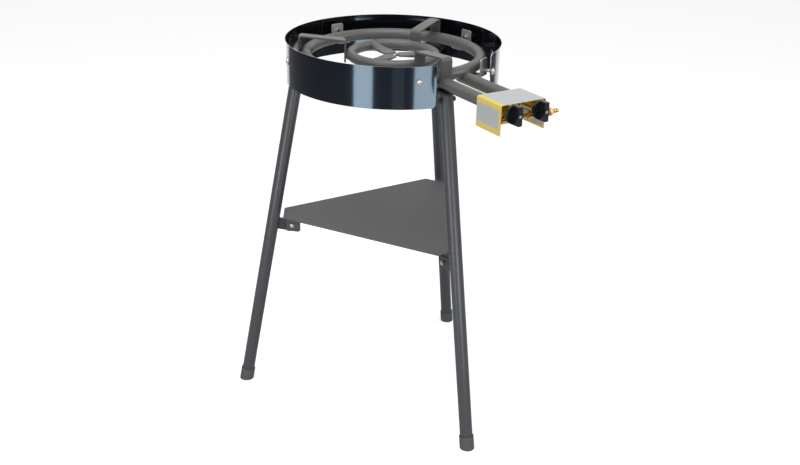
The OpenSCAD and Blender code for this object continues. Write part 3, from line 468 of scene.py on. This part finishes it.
# %% Pinch the spokes and join them to the inner ring
SPOKE_ANGLES = (90, 210, 330)
SPOKE_FLAT, SPOKE_END = 19 * MM, 80 * MM
SPOKE_ROUND = 9.5 * MM
FLAT_HALF_WIDTH, FLAT_HALF_HEIGHT = 15 * MM, 2 * MM
ROUND, SQUARE = 2, 8
ROUNDING_PACE = 2.2
PINCH_STEPS = 16
# each: reach from the centre, half width, half height, squareness
TIP_SECTIONS = (
    (4 * MM, 0.5 * MM, 1.6 * MM, 6), (5 * MM, 1.9 * MM, FLAT_HALF_HEIGHT, SQUARE),
    (12.7 * MM, 14.5 * MM, FLAT_HALF_HEIGHT, SQUARE),
    (13.3 * MM, FLAT_HALF_WIDTH, FLAT_HALF_HEIGHT, SQUARE))


def slot_outline(half_width, half_height, squareness):
    power = 2 / squareness
    return [(half_width * math.copysign(abs(math.cos(t)) ** power, math.cos(t)),
             half_height * math.copysign(abs(math.sin(t)) ** power, math.sin(t)))
            for t in turns(TUBE_SIDES)]


def spoke_sections():
    yield from TIP_SECTIONS
    for i in range(PINCH_STEPS + 1):
        share = i / PINCH_STEPS
        way = share * share * (3 - 2 * share)
        yield (SPOKE_FLAT + (SPOKE_END - SPOKE_FLAT) * share,
               FLAT_HALF_WIDTH + (SPOKE_ROUND - FLAT_HALF_WIDTH) * way,
               FLAT_HALF_HEIGHT + (SPOKE_ROUND - FLAT_HALF_HEIGHT) * way,
               SQUARE - (SQUARE - ROUND) * min(1, ROUNDING_PACE * way))


points, faces = ring_points(*INNER_RING), loop_faces(RING_STEPS)
for degrees in SPOKE_ANGLES:
    first = len(points)
    sections = list(spoke_sections())
    turn = Matrix.Rotation(math.radians(degrees), 3, "Z")
    for reach, half_width, half_height, squareness in sections:
        for across, up in slot_outline(half_width, half_height, squareness):
            points.append(turn @ Vector((reach, across, 0)) + Vector((0, 0, RING_Z + up)))
    faces += [tuple(first + v for v in face)
              for face in loop_faces(len(sections), closed_ring=False)]
    faces.append(tuple(first + k for k in reversed(range(TUBE_SIDES))))
    faces.append(tuple(len(points) - TUBE_SIDES + k for k in range(TUBE_SIDES)))
inner_ring = from_faces("inner_ring_and_spokes", points, faces)
settle(inner_ring, "burner_paint", ["inner_ring"])
print("rings", len(inner_ring.data.polygons), "faces in the inner one")

# %% [markdown]
# # Fasteners, flame ports and weld beads
# Screws, nuts, flame ports and the ripples of a weld are the same small shape many times over, so
# Geometry Nodes make them. Each tree takes its sizes from named inputs, puts one small shape on
# each point, turns it to face the way the point asks, and ends in a plain mesh. Copying objects
# in a loop would work too, but one tree keeps every copy true to the same sizes.

# %% Helpers that run a node tree and keep its result
def places_mesh(name, places, edges=()):
    mesh = bpy.data.meshes.new(name)
    mesh.from_pydata([tuple(p) for p, _ in places], edges, [])
    facing = mesh.attributes.new("facing", "FLOAT_VECTOR", "POINT")
    for i, (_, direction) in enumerate(places):
        facing.data[i].vector = direction
    obj = bpy.data.objects.new(name, mesh)
    bpy.context.scene.collection.objects.link(obj)
    return obj


def grown(obj, tree, values):
    modifier = obj.modifiers.new(tree.name, "NODES")
    modifier.node_group = tree
    for item in tree.interface.items_tree:
        if item.item_type == "SOCKET" and item.in_out == "INPUT" and item.name in values:
            modifier[item.identifier] = values[item.name]
    bpy.context.view_layer.update()
    shown = obj.evaluated_get(bpy.context.evaluated_depsgraph_get())
    result = bpy.data.meshes.new_from_object(shown)
    obj.modifiers.remove(modifier)
    result.name = obj.name
    if "facing" in result.attributes:
        result.attributes.remove(result.attributes["facing"])
    obj.data = result
    print(obj.name, len(result.polygons), "faces")
    return obj


# %% Helpers that the trees share
def turned_to_facing(tree):
    facing = put(tree, "GeometryNodeInputNamedAttribute", {"Name": "facing"},
                 data_type="FLOAT_VECTOR")
    return put(tree, "FunctionNodeAlignRotationToVector",
               {"Vector": facing.outputs["Attribute"]}, axis="Z").outputs[0]


def close_tree(tree, given, out, points, shape, **sockets):
    copies = put(tree, "GeometryNodeInstanceOnPoints",
                 {"Points": points, "Instance": shape, **sockets})
    real = put(tree, "GeometryNodeRealizeInstances", {"Geometry": copies.outputs[0]})
    finished = put(tree, "GeometryNodeSetMaterial", {
        "Geometry": real.outputs[0], "Material": given.outputs["Material"]})
    tree.links.new(finished.outputs[0], out.inputs["Geometry"])
    return tree


def times(tree, a, b):
    return put(tree, "ShaderNodeMath", {0: a, 1: b}, operation="MULTIPLY").outputs[0]


def lifted(tree, geometry, height):
    offset = put(tree, "ShaderNodeCombineXYZ", {"Z": height})
    return put(tree, "GeometryNodeTransform", {
        "Geometry": geometry, "Translation": offset.outputs[0]}).outputs[0]


def cylinder(tree, sides, width, depth):
    return put(tree, "GeometryNodeMeshCylinder", {
        "Vertices": sides, "Radius": times(tree, width, 0.5), "Depth": depth}).outputs["Mesh"]


def joined(tree, shapes):
    whole = put(tree, "GeometryNodeJoinGeometry")
    for shape in shapes:
        tree.links.new(shape, whole.inputs[0])
    return whole.outputs[0]


# %% Tree: domed bolts with their washers
HEAD_SIDES, HEAD_RINGS, WASHER_SIDES, SHANK_SIDES = 28, 16, 40, 24
DOME_CUT = -0.05 * MM


def domed_head(tree, value):
    ball = put(tree, "GeometryNodeMeshUVSphere", {
        "Segments": HEAD_SIDES, "Rings": HEAD_RINGS, "Radius": 1.0})
    half_head = times(tree, value["Head Width"], 0.5)
    size = put(tree, "ShaderNodeCombineXYZ", {
        "X": half_head, "Y": half_head, "Z": value["Head Height"]})
    dome = put(tree, "GeometryNodeTransform", {
        "Geometry": ball.outputs["Mesh"], "Scale": size.outputs[0]})
    place = put(tree, "GeometryNodeInputPosition")
    height = put(tree, "ShaderNodeSeparateXYZ", {0: place.outputs[0]})
    below = put(tree, "FunctionNodeCompare", {0: height.outputs["Z"], 1: DOME_CUT},
                data_type="FLOAT", operation="LESS_THAN")
    cap = put(tree, "GeometryNodeDeleteGeometry", {
        "Geometry": dome.outputs[0], "Selection": below.outputs[0]}, domain="POINT")
    return lifted(tree, cap.outputs[0], value["Washer Thickness"])


def make_bolt_tree():
    tree, given, out = start_group(
        "domed_bolts", "GeometryNodeTree",
        [("Geometry", "NodeSocketGeometry", None), ("Head Width", "NodeSocketFloat", 11 * MM),
         ("Head Height", "NodeSocketFloat", 4 * MM),
         ("Washer Width", "NodeSocketFloat", 16 * MM),
         ("Washer Thickness", "NodeSocketFloat", 1.2 * MM),
         ("Shank Width", "NodeSocketFloat", 6 * MM),
         ("Shank Length", "NodeSocketFloat", 20 * MM), ("Material", "NodeSocketMaterial", None)],
        [("Geometry", "NodeSocketGeometry")])
    value = given.outputs
    head = domed_head(tree, value)
    washer = cylinder(tree, WASHER_SIDES, value["Washer Width"], value["Washer Thickness"])
    washer_up = lifted(tree, washer, times(tree, value["Washer Thickness"], 0.5))
    shank = cylinder(tree, SHANK_SIDES, value["Shank Width"], value["Shank Length"])
    shank_in = lifted(tree, shank, times(tree, value["Shank Length"], -0.5))
    return close_tree(tree, given, out, value["Geometry"],
                      joined(tree, (head, washer_up, shank_in)),
                      Rotation=turned_to_facing(tree))


bolt_tree = make_bolt_tree()

# %% Tree: hexagon nuts
ACROSS_CORNERS = 1 / math.cos(math.pi / 6)
NUT_BODY, NUT_FACE, NUT_FACE_SIDES = 0.9, 0.96, 32


def make_nut_tree():
    tree, given, out = start_group(
        "hexagon_nuts", "GeometryNodeTree",
        [("Geometry", "NodeSocketGeometry", None),
         ("Across Flats", "NodeSocketFloat", 10 * MM), ("Thickness", "NodeSocketFloat", 5 * MM),
         ("Material", "NodeSocketMaterial", None)],
        [("Geometry", "NodeSocketGeometry")])
    value = given.outputs
    body = cylinder(tree, 6, times(tree, value["Across Flats"], ACROSS_CORNERS),
                    times(tree, value["Thickness"], NUT_BODY))
    face = cylinder(tree, NUT_FACE_SIDES, times(tree, value["Across Flats"], NUT_FACE),
                    value["Thickness"])
    middle = times(tree, value["Thickness"], 0.5)
    return close_tree(tree, given, out, value["Geometry"],
                      joined(tree, [lifted(tree, part, middle) for part in (body, face)]),
                      Rotation=turned_to_facing(tree))


nut_tree = make_nut_tree()

# %% [markdown]
# Each fastener sits on the bolt line that the CAD model gives it. The lines are written here as
# the CAD source writes them: an angle round the guard and a drop below its rim, or a place on
# the bar that carries each corner of the shelf. The guard's halves lap, so each guard bolt also
# names the outermost and the innermost sheet that it goes through.

# %% Fit the guard's bolts, washers and nuts
GUARD_BOLTS = ((251.0, 32 * MM, LEFT_R, LEFT_R), (167, 34 * MM, LEFT_R, LEFT_R),
               (95, 27 * MM, LEFT_R, RIGHT_R), (8, 27 * MM, RIGHT_R, RIGHT_R),
               (300.5, 38 * MM, RIGHT_R, RIGHT_R))
CLIP_BACK = 212.5 * MM
GUARD_NUT_T, NUT_PLAY = 4 * MM, 0.1 * MM
NUT_FLATS = 10 * MM
STEEL = FINISHES["bright_steel"]


def guard_places(radius_of):
    places = []
    for degrees, drop, outer, inner in GUARD_BOLTS:
        outwards = Matrix.Rotation(math.radians(degrees), 3, "Z") @ Vector((1, 0, 0))
        where = outwards * radius_of(outer, inner) + Vector((0, 0, RIM_Z - drop))
        places.append((where, outwards))
    return places


guard_faces = guard_places(lambda outer, inner: outer)
guard_backs = guard_places(lambda outer, inner: inner - GUARD_T - GUARD_NUT_T - NUT_PLAY)
clip_backs = guard_places(lambda outer, inner: CLIP_BACK - GUARD_NUT_T)
bolts = grown(places_mesh("guard_bolt_set", guard_faces), bolt_tree, {
    "Head Width": 11 * MM, "Head Height": 3.9 * MM, "Washer Width": 16 * MM,
    "Washer Thickness": 1.2 * MM, "Shank Width": 6 * MM, "Shank Length": 22.5 * MM,
    "Material": STEEL})
settle(bolts, "bright_steel", ["guard_bolts", "guard_washers"])
nuts = grown(places_mesh("guard_nut_set", guard_backs + clip_backs), nut_tree, {
    "Across Flats": NUT_FLATS, "Thickness": GUARD_NUT_T, "Material": STEEL})
settle(nuts, "bright_steel", ["guard_nuts"])

# %% Fit the shelf's bolts and nuts
SHELF_BOLT = Vector((223.07, 2.05, 402.32)) * MM
FLAP_T, FLAP_PLAY, BAR_T = 2 * MM, 0.05 * MM, 3 * MM
LEG_ANGLES = (270, 30, 150)


def shelf_places(inwards, facing):
    places = []
    for degrees in LEG_ANGLES:
        turn = Matrix.Rotation(math.radians(degrees), 3, "Z")
        sideways = turn @ Vector((0, 1, 0))
        places.append((turn @ SHELF_BOLT - sideways * inwards, sideways * facing))
    return places


bolts = grown(places_mesh("shelf_bolt_set", shelf_places(0, 1)), bolt_tree, {
    "Head Width": 11 * MM, "Head Height": 3 * MM, "Washer Width": 11 * MM,
    "Washer Thickness": 0.5 * MM, "Shank Width": 6 * MM, "Shank Length": 12 * MM,
    "Material": STEEL})
settle(bolts, "bright_steel", ["shelf_bolts"])
behind_bar = shelf_places(FLAP_T + FLAP_PLAY + BAR_T, -1)
nuts = grown(places_mesh("shelf_nut_set", behind_bar), nut_tree, {
    "Across Flats": NUT_FLATS, "Thickness": 5 * MM, "Material": STEEL})
settle(nuts, "bright_steel", ["shelf_nuts"])

# %% [markdown]
# The flame ports are short discs, sunk almost flush into the top of each ring. Their black is
# painted shade, standing in for the dark inside of a hole. Holes cut through the tube would be
# truer, but at this size they look the same and cost far more faces.

# %% Tree: flame ports round a ring
PORT_SIDES = 12
PORT_DEPTH, PORT_SINK = 0.6 * MM, 0.26 * MM
PORT_WIDTH, PORT_PITCH = 1.8 * MM, 12 * MM


def make_port_tree():
    tree, given, out = start_group(
        "flame_ports", "GeometryNodeTree",
        [("Geometry", "NodeSocketGeometry", None), ("Ring Radius", "NodeSocketFloat", 0.1),
         ("Count", "NodeSocketInt", 48), ("Port Width", "NodeSocketFloat", PORT_WIDTH),
         ("Height", "NodeSocketFloat", 0.8), ("Material", "NodeSocketMaterial", None)],
        [("Geometry", "NodeSocketGeometry")])
    value = given.outputs
    circle = put(tree, "GeometryNodeMeshCircle", {
        "Vertices": value["Count"], "Radius": value["Ring Radius"]})
    port = cylinder(tree, PORT_SIDES, value["Port Width"], PORT_DEPTH)
    return close_tree(tree, given, out, lifted(tree, circle.outputs[0], value["Height"]), port)


port_tree = make_port_tree()
# Each port's black disc is painted shade, standing in for the dark inside of a hole
for name, (radius, tube) in (("outer_ports", OUTER_RING), ("inner_ports", INNER_RING)):
    ports = grown(places_mesh(name, []), port_tree, {
        "Ring Radius": radius, "Count": round(2 * math.pi * radius / PORT_PITCH),
        "Port Width": PORT_WIDTH, "Height": RING_Z + tube - PORT_SINK,
        "Material": FINISHES["port_painted_shade"]})
    settle(ports, "burner_paint", materials=[FINISHES["port_painted_shade"]])

# %% [markdown]
# A weld bead is a row of overlapping ripples. The tree walks along a path of edges in even
# steps and leaves a small ball on each, a little larger or smaller than the last, from a fixed
# seed. The paths are where the tubes meet: a saddle round each feed tube, and an upright seam on
# both edges of each pan support.

# %% Tree: the ripples of a weld
BEAD_ROUNDNESS = 2
BEAD_SMALLEST, BEAD_LARGEST = 0.85, 1.1


def make_weld_tree():
    tree, given, out = start_group(
        "weld_beads", "GeometryNodeTree",
        [("Geometry", "NodeSocketGeometry", None), ("Pitch", "NodeSocketFloat", 2 * MM),
         ("Bead Width", "NodeSocketFloat", 4 * MM), ("Seed", "NodeSocketInt", 5),
         ("Material", "NodeSocketMaterial", None)],
        [("Geometry", "NodeSocketGeometry")])
    value = given.outputs
    path = put(tree, "GeometryNodeMeshToCurve", {"Mesh": value["Geometry"]})
    stepped = put(tree, "GeometryNodeResampleCurve", {
        "Curve": path.outputs[0], "Length": value["Pitch"]}, mode="LENGTH")
    bead = put(tree, "GeometryNodeMeshIcoSphere", {
        "Radius": times(tree, value["Bead Width"], 0.5), "Subdivisions": BEAD_ROUNDNESS})
    varied = put(tree, "FunctionNodeRandomValue", {
        2: BEAD_SMALLEST, 3: BEAD_LARGEST, "Seed": value["Seed"]}, data_type="FLOAT")
    return close_tree(tree, given, out, stepped.outputs[0], bead.outputs[0],
                      Scale=varied.outputs[1])


weld_tree = make_weld_tree()

# %% Helpers that find the weld paths
FEED_Z, FEED_R = 789 * MM, 13 * MM
FEED_LEFT_X, FEED_RIGHT_X = 0.0, 62 * MM
SUPPORT_HALF = 12.6 * MM
SEAM_LOW, SEAM_HIGH, SEAM_STEPS = -8 * MM, 7 * MM, 8
SADDLE_STEPS = 28
JUST_INSIDE = 0.999


def saddle(ring, feed_x):
    radius, tube = ring
    reach = math.sqrt(FEED_R ** 2 - (RING_Z - tube - FEED_Z) ** 2) * JUST_INSIDE
    loop = []
    for side in (1, -1):
        for i in range(SADDLE_STEPS):
            across = -side * reach * math.cos(math.pi * i / SADDLE_STEPS)
            z = FEED_Z + math.sqrt(FEED_R ** 2 - across ** 2)
            out = math.sqrt(max(tube ** 2 - (RING_Z - z) ** 2, 0))
            x = feed_x + across
            loop.append(Vector((x, -math.sqrt((radius + side * out) ** 2 - x ** 2), z)))
    return loop


def support_seam(ring, degrees, side):
    radius, tube = ring
    turn = Matrix.Rotation(math.radians(degrees), 3, "Z")
    seam = []
    for i in range(SEAM_STEPS + 1):
        up = SEAM_LOW + (SEAM_HIGH - SEAM_LOW) * i / SEAM_STEPS
        reach = radius + math.sqrt(tube ** 2 - up ** 2)
        seam.append(turn @ Vector((reach, side * SUPPORT_HALF, 0)) + Vector((0, 0, RING_Z + up)))
    return seam


# %% Lay the welds
FEED_BEAD, SUPPORT_BEAD = 4 * MM, 3.2 * MM
BEAD_PITCH = 1.6 * MM
BEAD_SEED = 5


def lay_weld(name, path, closed, width):
    edges = [(i, i + 1) for i in range(len(path) - 1)]
    if closed:
        edges.append((len(path) - 1, 0))
    bead = grown(places_mesh(name, [(p, (0, 0, 1)) for p in path], edges), weld_tree, {
        "Pitch": BEAD_PITCH, "Bead Width": width, "Seed": BEAD_SEED,
        "Material": FINISHES["weld_metal"]})
    return settle(bead, "burner_paint", materials=[FINISHES["weld_metal"]])


lay_weld("weld_inner_feed", saddle(INNER_RING, FEED_LEFT_X), True, FEED_BEAD)
lay_weld("weld_outer_feed_left", saddle(OUTER_RING, FEED_LEFT_X), True, FEED_BEAD)
lay_weld("weld_outer_feed_right", saddle(OUTER_RING, FEED_RIGHT_X), True, FEED_BEAD)
for place, degrees in zip(LEGS, LEG_ANGLES):
    for hand, side in (("a", -1), ("b", 1)):
        for label, ring in (("outer", OUTER_RING), ("inner", INNER_RING)):
            lay_weld(f"weld_{label}_{place}_{hand}", support_seam(ring, degrees, side), False,
                     SUPPORT_BEAD)

# %% [markdown]
# # The labels on the cover
# The cover carries three thin pale sheets: labels on the top and on the left side, and a plain
# pale sheet inside the right side. Each is a fifth of a millimetre thick, with rounded corners. A
# painted patch in the material would be simpler, but a sheet with its own edge catches the light
# as a real label does.

# %% Helper: one thin pale sheet, from a corner and its two neighbours
COVER_LEFT, COVER_RIGHT = -24 * MM, 81 * MM
COVER_BACK, COVER_FRONT = -339 * MM, -415.5 * MM
COVER_BOTTOM, COVER_TOP = 746.5 * MM, 806.5 * MM
COVER_T = 1.2 * MM
LABEL_T, LABEL_CORNER, LABEL_STEPS = 0.2 * MM, 2 * MM, 6


def label_sheet(name, corner, next_corner, last_corner):
    corner = Vector(corner)
    u, v = Vector(next_corner) - corner, Vector(last_corner) - corner
    outline = []
    for cu, cv, start in ((1, 0, 270), (1, 1, 0), (0, 1, 90), (0, 0, 180)):
        for i in range(LABEL_STEPS + 1):
            t = math.radians(start + 90 * i / LABEL_STEPS)
            du = u.length * cu + LABEL_CORNER * (math.cos(t) - (1 if cu else -1))
            dv = v.length * cv + LABEL_CORNER * (math.sin(t) - (1 if cv else -1))
            outline.append(corner + u.normalized() * du + v.normalized() * dv)
    lift = u.cross(v).normalized() * LABEL_T
    count = len(outline)
    points = outline + [p + lift for p in outline]
    faces = [tuple(reversed(range(count))), tuple(range(count, 2 * count))]
    faces += [(i, (i + 1) % count, count + (i + 1) % count, count + i) for i in range(count)]
    return settle(from_faces(name, points, faces), "cover_paint",
                  materials=[FINISHES["bare_label"]])


# %% Lay the two labels and the pale sheet
TOP_X = (COVER_LEFT + 9 * MM, COVER_RIGHT - 3 * MM)
TOP_Y = (COVER_FRONT + 2 * MM, COVER_BACK - 2 * MM)
SIDE_Y = (COVER_BACK - 2 * MM, COVER_FRONT + 7 * MM)
SIDE_Z = (COVER_BOTTOM + 12 * MM, COVER_TOP - 11 * MM)
INSIDE_X = COVER_RIGHT - COVER_T
INSIDE_Y = (COVER_BACK - 8 * MM, COVER_FRONT + 4 * MM)
INSIDE_Z = (COVER_BOTTOM + 4.5 * MM, COVER_BOTTOM + 44.5 * MM)

labels = [
    label_sheet("label_top", (TOP_X[0], TOP_Y[0], COVER_TOP), (TOP_X[1], TOP_Y[0], COVER_TOP),
                (TOP_X[0], TOP_Y[1], COVER_TOP)),
    # A plain pale sheet laid inside the right side of the cover
    label_sheet("pale_sheet_inside", (INSIDE_X, INSIDE_Y[0], INSIDE_Z[0]),
                (INSIDE_X, INSIDE_Y[1], INSIDE_Z[0]), (INSIDE_X, INSIDE_Y[0], INSIDE_Z[1])),
    label_sheet("label_left", (COVER_LEFT, SIDE_Y[0], SIDE_Z[0]),
                (COVER_LEFT, SIDE_Y[1], SIDE_Z[0]), (COVER_LEFT, SIDE_Y[0], SIDE_Z[1]))]
print("labels", len(labels))

# %% [markdown]
# # Floor and world
# The photograph is a studio picture on white. A floor that is white only to the camera keeps the
# soft shadows under the feet. The world is pale, and dark metal mirrors it as the real one does.

# %% Make the floor and the world
FLOOR_HALF = 6.0
FLOOR_SHADE = 0.8
CAMERA_GLOW = 0.62
WORLD_LEVEL = 0.45


def make_floor():
    corners = [(-FLOOR_HALF, -FLOOR_HALF, 0), (FLOOR_HALF, -FLOOR_HALF, 0),
               (FLOOR_HALF, FLOOR_HALF, 0), (-FLOOR_HALF, FLOOR_HALF, 0)]
    floor = from_faces("floor", corners, [(0, 1, 2, 3)])
    bpy.context.scene.collection.objects.link(floor)
    material = bpy.data.materials.new("pale_floor")
    tree = shader_tree(material)
    out = put(tree, "ShaderNodeOutputMaterial")
    cloth = put(tree, "ShaderNodeBsdfDiffuse", {
        "Color": (FLOOR_SHADE, FLOOR_SHADE, FLOOR_SHADE, 1)})
    path = put(tree, "ShaderNodeLightPath")
    strength = put(tree, "ShaderNodeMath", {0: path.outputs["Is Camera Ray"], 1: CAMERA_GLOW},
                   operation="MULTIPLY")
    glow = put(tree, "ShaderNodeEmission", {
        "Color": (1, 1, 1, 1), "Strength": strength.outputs[0]})
    both = put(tree, "ShaderNodeAddShader", {0: cloth.outputs[0], 1: glow.outputs[0]})
    tree.links.new(both.outputs[0], out.inputs["Surface"])
    floor.data.materials.append(material)


def make_world():
    world = bpy.data.worlds.new("studio")
    bpy.context.scene.world = world
    tree = shader_tree(world)
    out = put(tree, "ShaderNodeOutputWorld")
    path = put(tree, "ShaderNodeLightPath")
    seen = put(tree, "ShaderNodeMath",
               {0: path.outputs["Is Camera Ray"], 1: path.outputs["Is Glossy Ray"]},
               operation="MAXIMUM")
    level = put(tree, "ShaderNodeMath", {0: seen.outputs[0], 1: 1 - WORLD_LEVEL, 2: WORLD_LEVEL},
                operation="MULTIPLY_ADD")
    back = put(tree, "ShaderNodeBackground", {"Strength": level.outputs[0]})
    tree.links.new(back.outputs[0], out.inputs["Surface"])


bpy.context.scene.view_settings.view_transform = "Standard"
make_floor()
make_world()

# %% [markdown]
# # The lamps
# Each lamp is a soft box: one above, one at each side, and upright ones whose mirror images are
# the pale bands on the glossy guard. Their places follow from the law of reflection: from the
# camera to a point on the guard, and on from there as a ball would bounce. Light linking keeps
# these upright lamps to the guard. Two narrow ones and two low boxes light only the legs, which
# would otherwise get too dark towards the floor.

# %% Helpers that hang a lamp
WHITE, PALE, COOL = (1, 1, 1), (0.9, 0.95, 1.0), (0.60, 0.81, 1.0)
BAND_AWAY, BAND_MIDDLE, BAND_HEIGHT = 1.5, 0.42, 0.8


def soft_box(name, place, aim, width, height, power, colour=WHITE):
    data = bpy.data.lights.new(name, "AREA")
    data.shape = "RECTANGLE"
    data.size = width
    data.size_y = height
    data.energy = power
    data.color = colour
    lamp = bpy.data.objects.new(name, data)
    lamp.location = place
    lamp.rotation_euler = (Vector(aim) - Vector(place)).to_track_quat("-Z", "Y").to_euler()
    lamp.visible_camera = False
    bpy.context.scene.collection.objects.link(lamp)
    return lamp


def only_on(name, objects):
    group = bpy.data.collections.new(name)
    for obj in objects:
        group.objects.link(obj)
    return group


def band_box(name, azimuth, width, radiance, colour, lit):
    angle = math.radians(azimuth)
    place = (BAND_AWAY * math.cos(angle), BAND_AWAY * math.sin(angle), BAND_MIDDLE)
    lamp = soft_box(name, place, (0, 0, BAND_MIDDLE), width, BAND_HEIGHT,
                    radiance * math.pi * width * BAND_HEIGHT, colour)
    lamp.light_linking.receiver_collection = lit


# %% Hang the lamps
GUARD_ONLY = only_on("lit_by_bands", guard_halves)
LEGS_ONLY = only_on("lit_by_strips", [frame["nodes"][node] for node in each("leg", LEGS)]
                    + [finished[node] for node in each("foot", LEGS)])
MIDDLE = (0, 0, 0.6)
LOW_WIDTH, LOW_HEIGHT, LOW_POWER = 0.9, 0.4, 4.5

for name, place, width, height, power in (
        ("top_box", (-0.4, -0.3, 3.0), 2.2, 2.2, 34),
        ("left_box", (-2.6, -1.4, 1.6), 1.4, 1.8, 16),
        ("right_box", (2.4, -1.8, 1.8), 1.2, 1.8, 14)):
    soft_box(name, place, MIDDLE, width, height, power)
for name, azimuth, width, radiance, colour, lit in (
        ("left_band", 209.5, 0.49, 32, COOL, GUARD_ONLY),
        ("faint_band", 243, 0.30, 1.6, COOL, GUARD_ONLY),
        ("end_band", 271.5, 0.70, 29, COOL, GUARD_ONLY),
        ("left_edge", 88, 0.80, 2.0, WHITE, GUARD_ONLY),
        ("right_edge", 24, 0.80, 2.0, WHITE, GUARD_ONLY),
        ("leg_strip_front", 257, 0.34, 1.2, PALE, LEGS_ONLY),
        ("leg_strip_left", 213, 0.34, 0.4, PALE, LEGS_ONLY)):
    band_box(name, azimuth, width, radiance, colour, lit)
for name, place, aim in (
        ("low_left", (-1.5, -0.6, 0.22), (-0.2, -0.1, 0.15)),
        ("low_front", (-0.2, -1.7, 0.22), (0, -0.3, 0.15))):
    lamp = soft_box(name, place, aim, LOW_WIDTH, LOW_HEIGHT, LOW_POWER)
    lamp.light_linking.receiver_collection = LEGS_ONLY
